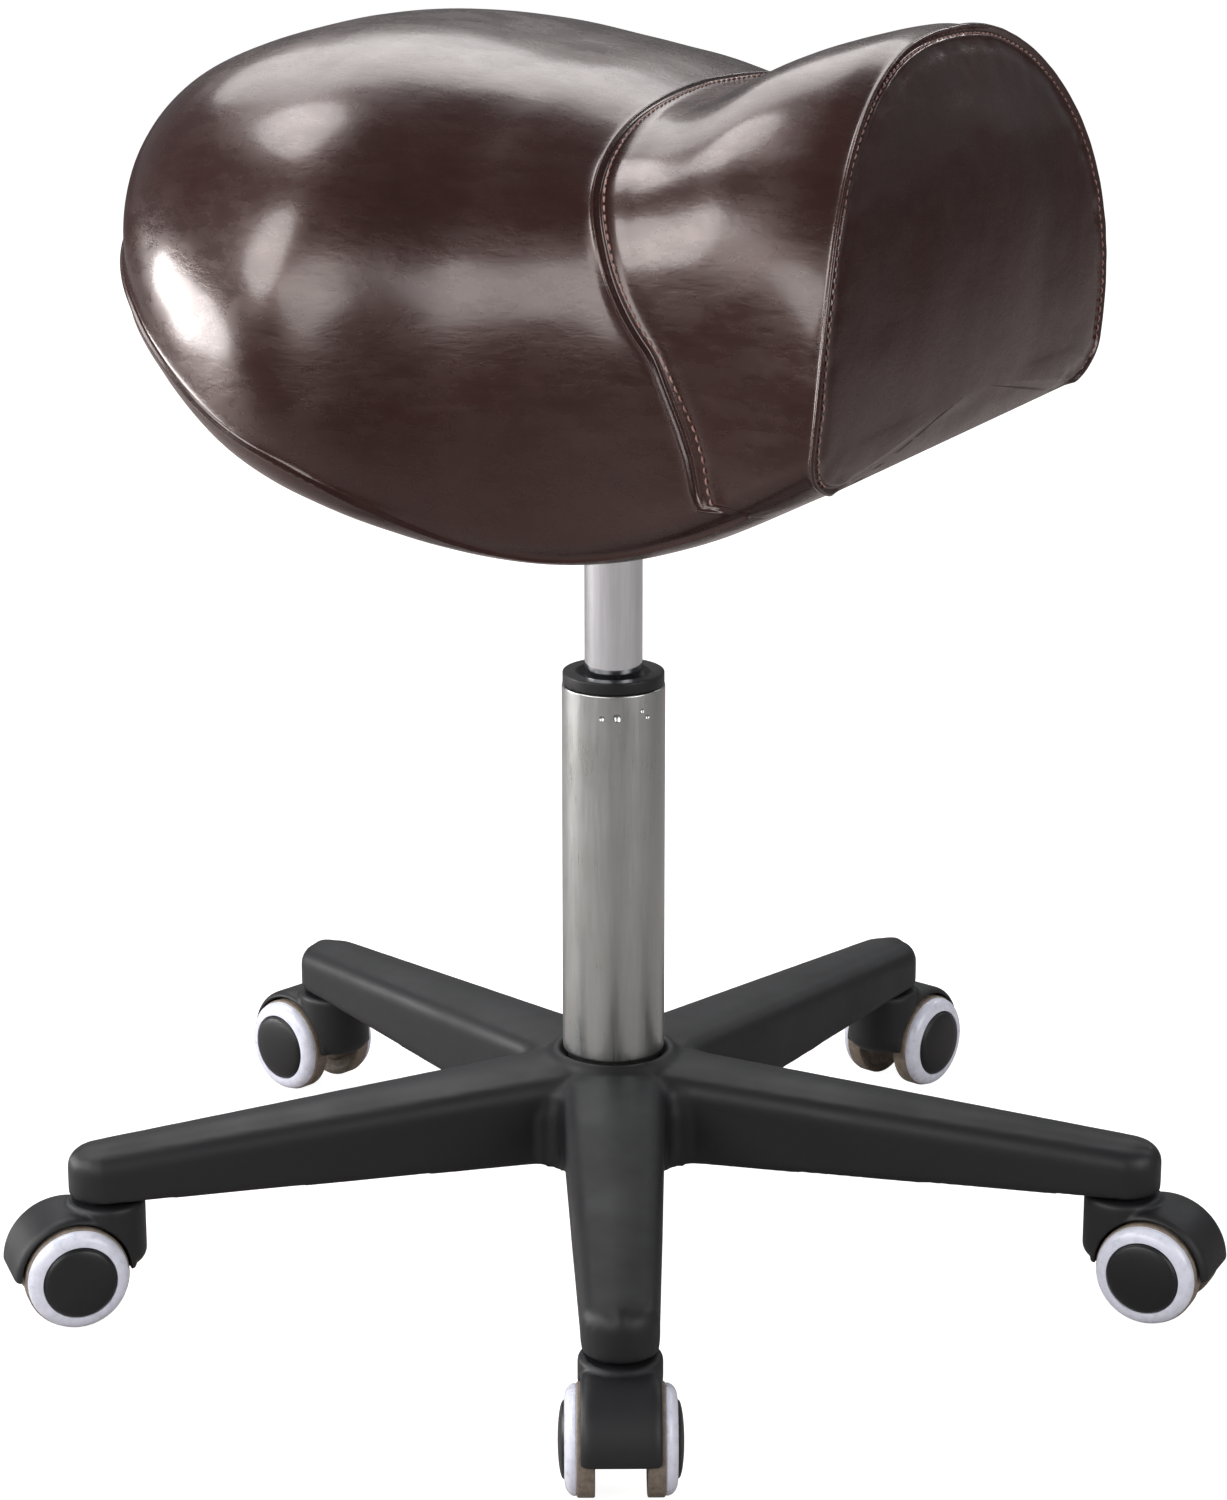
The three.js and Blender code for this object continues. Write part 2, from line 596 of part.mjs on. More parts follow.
function addMechanism() {
  addPiece(stool, 'seat_plate', seatPlate(), 'steel');
  const lever = new THREE.Group();
  lever.rotation.z = radians(LEVER_DIRECTION);
  const [reach, height] = LEVER_ROUTE.at(-1);
  const [reachBefore, heightBefore] = LEVER_ROUTE.at(-2);
  const slope = Math.atan2(height - heightBefore, reach - reachBefore);
  const depth = GRIP_DEPTH - GAP;
  const tip = [reach + depth * Math.cos(slope), height + depth * Math.sin(slope)];
  addPiece(lever, 'lever_rod', leverRod(tip), 'steel');
  const pin = crossBar(PIN_RADIUS, PIVOT_REACH, LEVER_HEIGHT, -13, 13, FINE_ROUND);
  addPiece(lever, 'lever_pin', pin, 'steel');
  const bore = LEVER_RADIUS + GAP;
  const grip = turned([[0, GRIP_DEPTH], [bore, GRIP_DEPTH], [bore, 0], [8.2, 0], [9.2, 4], [9.2, 54],
    [7, 60], [0, GRIP_LENGTH]], 16);
  const place = addPiece(lever, 'lever_grip', grip, 'nylon');
  place.rotation.y = Math.PI / 2 - slope;
  place.position.set(reach, 0, height);
  stool.add(lever);
}

addPiece(stool, 'star_base', starBase().rotateZ(radians(BASE_TURN)), 'nylon');
CASTER_TURNS.forEach((turn, i) => addCaster(i + 1, BASE_TURN + i * 360 / ARM_COUNT, turn));
addGasLift();
addSeat();
addMechanism();

export default stool;
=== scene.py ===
"""A dentist's saddle stool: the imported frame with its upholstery, castings and finishes."""
import math

import bmesh
import bpy
import numpy as np
from mathutils import Matrix, Vector, noise
from mathutils.bvhtree import BVHTree


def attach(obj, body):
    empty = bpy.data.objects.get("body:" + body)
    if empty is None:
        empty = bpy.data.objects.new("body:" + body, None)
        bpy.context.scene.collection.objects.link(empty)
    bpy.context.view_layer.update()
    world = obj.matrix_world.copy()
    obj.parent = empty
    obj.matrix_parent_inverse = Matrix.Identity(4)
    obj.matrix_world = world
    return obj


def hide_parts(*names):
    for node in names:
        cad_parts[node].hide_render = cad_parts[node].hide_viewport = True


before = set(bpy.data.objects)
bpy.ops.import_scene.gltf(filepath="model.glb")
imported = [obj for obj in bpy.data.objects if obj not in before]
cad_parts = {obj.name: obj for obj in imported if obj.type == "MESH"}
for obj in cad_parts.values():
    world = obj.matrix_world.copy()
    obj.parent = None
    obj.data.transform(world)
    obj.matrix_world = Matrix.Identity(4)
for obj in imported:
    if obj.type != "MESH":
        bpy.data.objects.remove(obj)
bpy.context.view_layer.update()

MM = 0.001

# ---- camera, in metres: how far it stands from the column, how high, and how it looks down ----
CAMERA_DISTANCE = 1.8422
CAMERA_HEIGHT = 0.8042
CAMERA_AZIMUTH = -152.0
CAMERA_PITCH = 16.602
CAMERA_LENS = 95.45

# ---- seat, in millimetres: stations run forward along s, w is the half width ----
SEAT_BACK = -224
SEAT_FRONT = 167
BACK_ROUND_FROM = -30
HALF_WIDTHS = [(-224, 199), (-110, 199), (-50, 197), (10, 173), (70, 152), (120, 154), (167, 162)]
RIM_HEIGHTS = [(-224, 517), (-110, 448), (-50, 425), (10, 405), (60, 402), (110, 416), (167, 448)]
CREST_HEIGHTS = [(-224, 625), (-170, 623), (-110, 611), (-50, 600), (10, 590), (65, 578), (115, 600),
                 (150, 609), (167, 609)]
WIDTH_POWERS = [(-150, 2.5), (0, 2.9), (70, 2.9), (167, 2.2)]
HEIGHT_POWERS = [(-150, 2.3), (0, 2.9), (70, 4.3), (167, 2.4)]
PLAN_POWER = 2.2
CROWN_POWER = 2.6
BAND_DROP = 20
BACK_BAND_DROP = 12            # how much deeper the band hangs at the back, over the board's corners
BAND_INSET = 37
END_BOW = 15
END_BOW_MIDDLE = 495
END_BOW_REACH = 110
BOARD_TOP = 486
BOARD_FLAT = 62
BOARD_ARCH = 24
BOARD_INSET = 48
BOARD_BACK = -188
BOARD_FRONT = 148
BOARD_LIFT = 14
BOARD_LIFT_FROM = -110

# the seam between the main and the pommel panel: share of the way from crest to rim, and station
MAIN_SEAM = [(0.0, 48), (0.2, 52), (0.39, 55), (0.5, 59), (0.6, 66), (0.7, 75), (0.78, 86), (0.83, 98),
             (0.87, 116), (0.93, 131), (1.0, 137), (1.3, 141)]
MAIN_SEAM_FADES = (0.89, 0.97)
END_STITCH_LAST = 1.2
MIDDLING_ARCH = (160, 190, 2.8, 3.0)      # half width, height and powers of a middling cross-section
ARCH_LENGTH = 310              # from crest to rim, round that cross-section
BAND_LENGTH = 45
BACK_CLUSTER = 1.8             # how much closer together the rows are towards the back
WALL_FOOT = 0.15               # where the underside turns up beside the board, as a share of the underside
WALL_HEAD = 0.2
PANEL_SPINE = (452, 560)       # heights of the upright line that the end panel's columns run in to
PANEL_CROWN = 4.5

# ---- the cushion's mesh and sewing, in millimetres ----
ARCH_COLUMNS = 104
BAND_COLUMNS = 12
UNDER_COLUMNS = 14
MAIN_ROWS = 104
POMMEL_ROWS = 24
PANEL_ROWS = 34
TOPSTITCH_REACH = 4.2          # from a seam to its row of stitches
SEAM_STEPS = [0, 0.25, 0.5, 0.8, 1.15, 1.6, 2.1, 2.6, 3.1, 3.6, TOPSTITCH_REACH, 4.7, 5.3, 6, 7, 8.3,
              10, 12, 14]      # from a seam to the rows of points beside it
RIM_STEPS = [0, 0.3, 0.6, 1, 1.5, 2.2, 3, 4, 5.2, 7, 9]
# relief beside a seam: height, distance from the seam, width
GROOVE = (-1.5, 0, 0.8)
RIDGE = (0.85, 2.3, 1.2)
CHANNEL = (-0.35, TOPSTITCH_REACH, 0.75)
BEYOND = (0.55, 8, 3.2)
PLAIN_EDGE = (0.7, 4)          # height and reach of a rolled edge without stitches
BROAD_WAVES = (0.75, (55, 70, 55), (0, 0, 0))       # height, size along each axis, and offset
SMALL_WAVES = (0.22, (19, 26, 19), (7, 0, 0))
PUCKERS = (0.7, 9, 7, 8, 40)   # height, size, distance from the seam, spread and furthest reach
STITCH_PITCH = 4.6
STITCH_LENGTH = 3.4
STITCH_GAP = 2                 # before the first stitch of a row
THREAD_RADIUS = 0.5
THREAD_SIDES = 6
START_SHRINK = 4.0             # the pad is this much smaller before it is blown up
SWELL_CAP = 9.0
SWELL_SHARE = 0.35             # how much of the blown-up shape the firm foam lets through
SWELL_EVENING = 6              # rounds of smoothing
PAD_FRAMES = 20
PAD_CLOTH = {"quality": 6, "mass": 0.3, "tension_stiffness": 18, "compression_stiffness": 18,
             "shear_stiffness": 8, "bending_stiffness": 2.5, "use_pressure": True,
             "uniform_pressure_force": 4.0}

# ---- lights ----
LIT_POINT = (0.0, 0.0, 0.5)
WORLD_BRIGHTNESS = 0.16
FLOOR_GLOW = 0.95
FLOOR = 60000                  # half its width, in millimetres
# name, azimuth and elevation seen from the lit point, distance, width, height in metres, brightness
LIGHTS = [
    ("left_low", 107, -1, 2.0, 1.20, 0.50, 13.0),
    ("left_high", 87, 54, 2.0, 0.95, 0.75, 6.0),
    ("left_near", 136, 26, 2.0, 0.70, 1.00, 8.0),
    ("front", 172, 20, 3.0, 2.50, 1.20, 4.5),
    ("panel_fill", -100, 18, 2.6, 1.60, 1.40, 4.5),
    ("right_high", -24, 27, 2.2, 0.80, 0.30, 7.0),
    ("backdrop", 34, 38, 3.2, 3.20, 1.70, 2.0),
]

# ---- column, base and casters, in millimetres ----
ARM_COUNT = 5
BASE_TURN = 208.67             # direction of the first arm, degrees from +X
CASTER_TURNS = [0, -8.5, -4.1, 9.1, 0.8]
STEM_CIRCLE = 256.1
STEM_SOCKET = (5.8, 78)        # radius and top of the hole for a stem
WHEEL_RADIUS = 25
WHEEL_BORE = 3.3
TRAIL = 18.6
WHEEL_INNER = 11.3             # distances from the middle of the caster, out along the axle
TREAD_OUTER = 18.7
RING_FROM = 19.7
WHEEL_OUTER = 24.6
RING_WIDTH = 6.3
TREAD_PROFILE = [
    (WHEEL_BORE, WHEEL_INNER), (16, WHEEL_INNER), (17, WHEEL_INNER + 1.2), (21, WHEEL_INNER + 1.2),
    (22, WHEEL_INNER), (WHEEL_RADIUS, WHEEL_INNER), (WHEEL_RADIUS, TREAD_OUTER), (24.3, 19.3)]
RING_EDGE = (23.9, 19.5)
TREAD_ENDS = 19.4              # the tread's finish below, the ring's above
CAP_RADIUS = 17.5
CAP_SEAT = 22.3
CAP_EDGE = 24.9
CAP_TOP = 27.5
HOOD_HALF_WIDTH = 18.3
HOOD_RADIUS = 29.5
HOOD_CLEARANCE = 26.3
BOSS_RADIUS = 18.8
BOSS_TOP = 57
BOSS_PROFILE = [(0, 24), (15, 24), (BOSS_RADIUS, 28), (BOSS_RADIUS, BOSS_TOP), (0, BOSS_TOP)]
AXLE_HUB = (8, 10.8)           # radius and half width
ARM_END_RADIUS = 17.5
ARM_UNDERSIDE = 58.8
HUB_UNDERSIDE = 54
ARM_TOP_END = 83
ARM_TOP_HUB = 100
HUB_TOP = 103
HUB_PROFILE = [(22.9, HUB_UNDERSIDE), (37, HUB_UNDERSIDE), (38, 58), (36, 88), (32, HUB_TOP - 2.5),
               (29, HUB_TOP), (27, HUB_TOP), (26, HUB_TOP - 2), (22.9, HUB_TOP - 5)]
ARM_STATIONS = [(24, 24), (34, 26), (44, 24.3), (92, 22.7), (140, 21.2), (190, 19.5),
                (STEM_CIRCLE - 16, 17.8), (STEM_CIRCLE - 4, ARM_END_RADIUS)]       # reach and half width
ARM_END_TURNS = [14, 32, 50, 66, 78, 86]
ARM_END_DROP = 6
ARM_CROWN = 1.6
ARM_WALL = 4
ARM_SHOULDER = 9               # rounding along an arm's top edges
WEB_RADIUS = 8
WEB_APEX = 40
WEB_LEVELS = [(HUB_UNDERSIDE, 1.0), (80, 0.99), (91, 0.94), (95, 0.86)]      # height and scale
HOLLOW_SPANS = [(50, 139), (142, 232)]
HOLLOW_FOOT = 40               # a cutting shape starts this low, clear of the arms
HOLLOW_ROOF = 6
HOLLOW_HAUNCH = 8
TUBE_RADIUS = 25
TUBE_WALL = 2
TUBE_TOP = 288.7
TUBE_NECK = 22.3
TUBE_FOOT = 60
TUBE_INSIDE = TUBE_RADIUS - TUBE_WALL
TUBE_PROFILE = [
    (20, TUBE_FOOT), (TUBE_NECK - 0.4, TUBE_FOOT), (TUBE_NECK, 97), (TUBE_NECK + 0.4, 101.6),
    (TUBE_RADIUS - 0.2, 103), (TUBE_RADIUS, 108), (TUBE_RADIUS, TUBE_TOP), (TUBE_INSIDE, TUBE_TOP),
    (TUBE_INSIDE, 110), (20.2, 103)]
COLLAR_RADIUS = TUBE_RADIUS - 0.4
COLLAR_FOOT = 200
COLLAR_TOP = 295
BUSH_RADIUS = 22.7
CYLINDER_RADIUS = 14
CYLINDER_FOOT = 180
CYLINDER_TOP = 448
TAPER_FROM = 404
CHAMBER_RADIUS = 11
CHAMBER_TOP = 415
ROD_HOLE = 5.3
BUTTON_HOLE = (4.3, 424)       # radius and foot
# the dimples near the tube's top: bearing, height, radius
CRIMPS = [(-165, 277.5, 1.6), (-148, 278, 2.4), (-112, 277, 1.5), (-119, 280.5, 1.3)]
PLATE_SEAT = 470.2             # the underside of the plate, where the bolts' washers bear
WASHER = (4.3, 8.2, 1.4)       # inner and outer radius, thickness
BOLT_HEAD = (6.6, 7.5, 5.8, 6.4)         # radius at its end and above it, and how far down each of them is
SHANK_RADIUS = 3.9
BOLT_PLACES = [(-46, -64), (46, -64), (46, 64), (-46, 64)]
LEVER_DIRECTION = 35
LEVER_ROUTE = [(-4, 459.5), (55, 459.5), (80, 449), (165, 403), (190, 397)]
LEVER_RADIUS = 4.9
LEVER_IN_GRIP = 40
GRIP_PROFILE = [(0, 62), (6.4, 61), (8.6, 55), (8.2, 46), (9.0, 38), (8.4, 30), (9.0, 22), (8.4, 14),
                (9.1, 6), (8.2, 0.6), (5.3, 0), (0, 0)]
ROUND = 96                     # sides of a turned piece


# ---- shapes

def hermite(t, width, first, last, first_slope, last_slope):
    """The cubic between two knots, t of the way from the first to the last."""
    return (first * (1 + 2 * t) * (1 - t) ** 2 + first_slope * width * t * (1 - t) ** 2
            + last * t * t * (3 - 2 * t) + last_slope * width * t * t * (t - 1))


def through(knots, place):
    """A smooth curve through (place, value) knots, level beyond the first and the last."""
    x = np.array([k[0] for k in knots], float)
    y = np.array([k[1] for k in knots], float)
    before = np.maximum(np.arange(len(x)) - 1, 0)
    after = np.minimum(np.arange(len(x)) + 1, len(x) - 1)
    slope = (y[after] - y[before]) / (x[after] - x[before])
    place = np.clip(place, x[0], x[-1])
    i = np.clip(np.searchsorted(x, place, side="right") - 1, 0, len(x) - 2)
    width = x[i + 1] - x[i]
    return hermite((place - x[i]) / width, width, y[i], y[i + 1], slope[i], slope[i + 1])


def smooth(low, high, x):
    """0 below low, 1 above high, and an easy way from one to the other."""
    t = np.clip((x - low) / (high - low), 0, 1)
    return t * t * (3 - 2 * t)


def placed(name, data):
    """A new object in the scene."""
    made = bpy.data.objects.new(name, data)
    bpy.context.scene.collection.objects.link(made)
    return made


def new_object(name, points, faces):
    """A mesh object from points in millimetres."""
    mesh = bpy.data.meshes.new(name)
    mesh.from_pydata([tuple(p) for p in np.asarray(points, float) * MM], [], faces)
    mesh.validate()
    return placed(name, mesh)


def shade_smooth(made, sharp_above=None):
    """Smooth shading, with edges kept sharp where the faces turn by more than that angle in degrees."""
    made.data.polygons.foreach_set("use_smooth", [True] * len(made.data.polygons))
    if sharp_above is not None:
        made.data.set_sharp_from_angle(angle=math.radians(sharp_above))
    made.data.update()
    return made


def outward(made):
    """Turns the faces of a closed mesh to point out."""
    shell = bmesh.new()
    shell.from_mesh(made.data)
    bmesh.ops.recalc_face_normals(shell, faces=shell.faces)
    if shell.calc_volume(signed=True) < 0:
        bmesh.ops.reverse_faces(shell, faces=shell.faces)
    shell.to_mesh(made.data)
    shell.free()
    return made


def grid_faces(rows, columns, closed_columns=True, start=0):
    """Quads between rows of points."""
    faces = []
    for row in range(rows - 1):
        for column in range(columns if closed_columns else columns - 1):
            a = start + row * columns + column
            b = start + row * columns + (column + 1) % columns
            faces.append((a, b, b + columns, a + columns))
    return faces


def loft(name, rings):
    """A closed solid through rings of points, its ends closed by one face each."""
    count = len(rings[0])
    faces = grid_faces(len(rings), count)
    last = (len(rings) - 1) * count
    faces.append(tuple(range(count)))
    faces.append(tuple(range(last, last + count)))
    return outward(new_object(name, np.concatenate(rings), faces))


def rounded(profile, radius, steps=5):
    """The [radius, height] profile with its inner corners rounded off."""
    points = [np.array(p, float) for p in profile]
    made = [points[0]]
    for before, corner, after in zip(points, points[1:], points[2:]):
        back, ahead = before - corner, after - corner
        room = min(radius, np.linalg.norm(back) * 0.45, np.linalg.norm(ahead) * 0.45)
        start = corner + back / np.linalg.norm(back) * room
        end = corner + ahead / np.linalg.norm(ahead) * room
        for t in np.linspace(0, 1, steps):
            made.append(start * (1 - t) ** 2 + 2 * corner * t * (1 - t) + end * t * t)
    made.append(points[-1])
    return made


def turned(name, profile, sides=ROUND):
    """A turned solid about Z. Its profile runs from axis to axis, or round a ring and back to its start."""
    profile = np.array(profile, float)
    on_axis = profile[0][0] < 1e-6
    body = profile[1:-1] if on_axis else profile
    turns = np.linspace(0, 2 * math.pi, sides, endpoint=False)
    rows = [np.stack([r * np.cos(turns), r * np.sin(turns), np.full(sides, z)], 1) for r, z in body]
    points = np.concatenate(rows)
    faces = grid_faces(len(rows), sides)
    if on_axis:
        first, last = len(points), len(points) + 1
        end_row = (len(rows) - 1) * sides
        points = np.concatenate([points, [[0, 0, profile[0][1]], [0, 0, profile[-1][1]]]])
        for i in range(sides):
            faces.append((first, (i + 1) % sides, i))
            faces.append((last, end_row + i, end_row + (i + 1) % sides))
    else:
        end_row = (len(rows) - 1) * sides
        faces += [(end_row + i, end_row + (i + 1) % sides, (i + 1) % sides, i) for i in range(sides)]
    return outward(new_object(name, points, faces))


def plain(radius, low, high):
    """The profile of a plain cylinder."""
    return [(0, low), (radius, low), (radius, high), (0, high)]


def turn_mesh(made, matrix):
    made.data.transform(matrix)
    made.data.update()
    return made


def remove(made):
    mesh = made.data
    bpy.data.objects.remove(made)
    if mesh.users == 0:
        bpy.data.meshes.remove(mesh)


def joined(name, objects):
    """One object holding the meshes of all of these."""
    shell = bmesh.new()
    for piece in objects:
        shell.from_mesh(piece.data)
    mesh = bpy.data.meshes.new(name)
    shell.to_mesh(mesh)
    shell.free()
    for piece in objects:
        remove(piece)
    return placed(name, mesh)


def settle(made):
    """Bakes an object's modifiers into its mesh."""
    seen = made.evaluated_get(bpy.context.evaluated_depsgraph_get())
    mesh = bpy.data.meshes.new_from_object(seen)
    made.modifiers.clear()
    old = made.data
    made.data = mesh
    mesh.name = made.name
    bpy.data.meshes.remove(old)
    return made


def cut(made, *tools):
    """Takes the tools' shapes away from a solid, and the tools with them."""
    for tool in tools:
        knife = made.modifiers.new("cut", "BOOLEAN")
        knife.operation = "DIFFERENCE"
        knife.solver = "EXACT"
        knife.object = tool
    bpy.context.view_layer.update()
    settle(made)
    for tool in tools:
        remove(tool)
    return made


def moulded(made, voxel, smoothing):
    """Joins overlapping closed shapes into one casting with softly rounded edges."""
    fuse = made.modifiers.new("fuse", "REMESH")
    fuse.mode = "VOXEL"
    fuse.voxel_size = voxel * MM
    soften = made.modifiers.new("soften", "SMOOTH")
    soften.factor = 0.5
    soften.iterations = smoothing
    bpy.context.view_layer.update()
    return shade_smooth(settle(made))


# ---- nodes and materials

def material(name):
    made = bpy.data.materials.new(name)
    made.use_nodes = True
    tree = made.node_tree
    tree.nodes.clear()
    output = tree.nodes.new("ShaderNodeOutputMaterial")
    shader = tree.nodes.new("ShaderNodeBsdfPrincipled")
    tree.links.new(shader.outputs[0], output.inputs["Surface"])
    return made, tree, shader


def node(tree, kind, settings=None, **inputs):
    """A shader node. A socket is linked, and anything else is the input's own value."""
    made = tree.nodes.new("ShaderNode" + kind)
    for key, value in (settings or {}).items():
        setattr(made, key, value)
    connect(tree, made, **inputs)
    return made


def connect(tree, made, **inputs):
    for key, value in inputs.items():
        socket = made.inputs[key.replace("_", " ")]
        if isinstance(value, bpy.types.NodeSocket):
            tree.links.new(value, socket)
        else:
            socket.default_value = value


def place(tree, stretch=(1, 1, 1)):
    """The surface's own coordinates in metres, stretched along each axis."""
    spot = node(tree, "TexCoord").outputs["Object"]
    return node(tree, "Mapping", Vector=spot, Scale=stretch).outputs[0]


def grain(tree, size, where, detail=4.0, roughness=0.55, distortion=0.0):
    """Cloudy noise whose blots are about this many millimetres across."""
    made = node(tree, "TexNoise", Vector=where, Scale=1 / (size * MM), Detail=detail, Roughness=roughness,
                Distortion=distortion)
    return made.outputs["Fac"]


def cells(tree, size, where, feature="DISTANCE_TO_EDGE"):
    made = node(tree, "TexVoronoi", {"feature": feature}, Vector=where, Scale=1 / (size * MM))
    return made.outputs["Distance"]


def between(tree, amount, low, high, from_low=0.0, from_high=1.0):
    """A number that goes from low to high as amount goes from from_low to from_high."""
    made = node(tree, "MapRange", Value=amount)
    for index, value in zip((1, 2, 3, 4), (from_low, from_high, low, high)):
        made.inputs[index].default_value = value
    return made.outputs[0]


def shades(tree, amount, *stops):
    """A colour from (position, colour) stops."""
    ramp = node(tree, "ValToRGB", Fac=amount)
    bar = ramp.color_ramp
    while len(bar.elements) < len(stops):
        bar.elements.new(1.0)
    for element, (position, colour) in zip(bar.elements, stops):
        element.position = position
        element.color = (*colour, 1)
    return ramp.outputs[0]


def combined(tree, operation, first, second):
    made = node(tree, "Math", {"operation": operation})
    for socket, value in zip(made.inputs, (first, second)):
        if isinstance(value, bpy.types.NodeSocket):
            tree.links.new(value, socket)
        else:
            socket.default_value = value
    return made.outputs[0]


def blend(tree, first, share, second, other_share):
    """The sum of two amounts, each with its own share."""
    parts = [combined(tree, "MULTIPLY", *part) for part in ((first, share), (second, other_share))]
    return combined(tree, "ADD", *parts)


def bump(tree, height, depth, before=None):
    """Relief that is this many millimetres deep."""
    made = node(tree, "Bump", Height=height, Strength=1.0, Distance=depth * MM)
    if before is not None:
        tree.links.new(before, made.inputs["Normal"])
    return made.outputs[0]


def leather():
    """Glossy brown upholstery with a fine grain and soft creases."""
    made, tree, shader = material("brown_upholstery")
    where = place(tree)
    drift = grain(tree, 70, where, detail=2)
    fine = grain(tree, 9, where, detail=5)
    tone = blend(tree, drift, 0.6, fine, 0.4)
    creases = grain(tree, 16, place(tree, (1.0, 0.6, 1.7)), detail=10, roughness=0.68)
    folds = grain(tree, 4, place(tree, (1.0, 0.6, 1.5)), detail=6, roughness=0.62)
    pores = cells(tree, 0.9, where)
    relief = bump(tree, pores, 0.012)
    relief = bump(tree, folds, 0.045, relief)
    relief = bump(tree, creases, 0.3, relief)
    connect(
        tree, shader,
        Base_Color=shades(tree, tone, (0.3, (0.019, 0.0062, 0.0050)), (0.55, (0.026, 0.0085, 0.0067)),
                          (0.75, (0.035, 0.0125, 0.0098))),
        Roughness=between(tree, creases, 0.14, 0.40, 0.2, 0.8),
        Normal=relief,
        Specular_IOR_Level=0.5,
        Specular_Tint=(1.0, 0.86, 0.82, 1.0),
        Coat_Weight=0.4,
        Coat_Roughness=0.14,
        Coat_Tint=(1.0, 0.90, 0.87, 1.0),
    )
    return made


def sewing_thread():
    """Pinkish brown polyester thread, twisted."""
    made, tree, shader = material("seat_thread")
    where = place(tree)
    twist = grain(tree, 0.5, where, detail=2)
    worn = grain(tree, 14, where, detail=3)
    connect(
        tree, shader,
        Base_Color=shades(tree, worn, (0.35, (0.20, 0.085, 0.07)), (0.65, (0.38, 0.21, 0.18))),
        Roughness=between(tree, twist, 0.45, 0.7),
        Normal=bump(tree, twist, 0.12),
        Sheen_Weight=0.2,
    )
    return made


def nylon(name, tint, gloss, texture):
    """Black moulded nylon with a spark-eroded texture, scuffed lighter on its edges."""
    made, tree, shader = material(name)
    where = place(tree)
    sparks = grain(tree, texture, where, detail=3, roughness=0.7)
    cloud = grain(tree, 35, where, detail=3)
    edge = between(tree, node(tree, "NewGeometry").outputs["Pointiness"], 0.0, 1.0, 0.52, 0.62)
    scuffs = combined(tree, "MULTIPLY", edge, grain(tree, 6, where, detail=6, roughness=0.7))
    tone = blend(tree, cloud, 0.6, scuffs, 0.5)
    dark = tuple(c * 0.75 for c in tint)
    light = tuple(c * 1.7 for c in tint)
    connect(
        tree, shader,
        Base_Color=shades(tree, tone, (0.15, dark), (0.45, tint), (0.85, light)),
        Roughness=between(tree, combined(tree, "ADD", cloud, scuffs), gloss + 0.1, gloss - 0.08, 0.3, 0.9),
        Normal=bump(tree, sparks, 0.06),
        Specular_IOR_Level=0.45,
    )
    return made


def ring_plastic():
    """Pale lavender-grey gloss plastic, a little dusty."""
    made, tree, shader = material("wheel_ring")
    where = place(tree)
    dust = grain(tree, 5, where, detail=6, roughness=0.65)
    connect(
        tree, shader,
        Base_Color=shades(tree, dust, (0.3, (0.62, 0.63, 0.72)), (0.6, (0.74, 0.75, 0.85)),
                          (0.8, (0.78, 0.78, 0.87))),
        Roughness=between(tree, dust, 0.22, 0.42, 0.3, 0.7),
        Normal=bump(tree, grain(tree, 1.2, where), 0.02),
        Coat_Weight=0.2,
        Coat_Roughness=0.15,
    )
    return made


def tread_rubber():
    """Brown-grey polyurethane tread, dull where it has rolled."""
    made, tree, shader = material("wheel_tread")
    where = place(tree)
    dirt = grain(tree, 3, where, detail=6, roughness=0.7)
    connect(
        tree, shader,
        Base_Color=shades(tree, dirt, (0.3, (0.12, 0.095, 0.07)), (0.65, (0.26, 0.21, 0.165))),
        Roughness=between(tree, dirt, 0.5, 0.8, 0.3, 0.7),
        Normal=bump(tree, grain(tree, 0.7, where), 0.08),
    )
    return made


def metal(name, tint, low, high, streak, depth, stretch, patch=30):
    """Bare or plated metal: fine drawing marks along one way and cloudy patches in its polish."""
    made, tree, shader = material(name)
    marks = grain(tree, streak, place(tree, stretch), detail=5, roughness=0.6)
    cloud = grain(tree, patch, place(tree), detail=3)
    mixed = blend(tree, marks, 0.6, cloud, 0.4)
    connect(
        tree, shader,
        Base_Color=shades(tree, mixed, (0.3, tuple(c * 0.86 for c in tint)), (0.7, tint)),
        Metallic=1.0,
        Roughness=between(tree, mixed, low, high, 0.35, 0.65),
        Normal=bump(tree, marks, depth),
    )
    return made


def rubber():
    """Dull black rubber with a little bloom."""
    made, tree, shader = material("black_rubber")
    where = place(tree)
    bloom = grain(tree, 6, where, detail=5)
    connect(
        tree, shader,
        Base_Color=shades(tree, bloom, (0.35, (0.008, 0.008, 0.008)), (0.7, (0.022, 0.021, 0.02))),
        Roughness=between(tree, bloom, 0.7, 0.9),
        Normal=bump(tree, grain(tree, 0.8, where), 0.05),
    )
    return made


def plywood():
    """Birch ply: long grain on the faces and thin dark glue lines through its height."""
    made, tree, shader = material("plywood")
    figure = grain(tree, 26, place(tree, (9.0, 0.7, 1.0)), detail=6, distortion=0.6)
    plies = node(tree, "TexWave", {"bands_direction": "Z"}, Vector=place(tree), Scale=75.0, Distortion=1.0,
                 Detail=1.0).outputs["Fac"]
    tone = blend(tree, figure, 0.7, plies, 0.2)
    connect(
        tree, shader,
        Base_Color=shades(tree, tone, (0.25, (0.30, 0.17, 0.075)), (0.55, (0.50, 0.32, 0.16)),
                          (0.8, (0.60, 0.42, 0.23))),
        Roughness=between(tree, figure, 0.55, 0.75),
        Normal=bump(tree, figure, 0.2),
    )
    return made


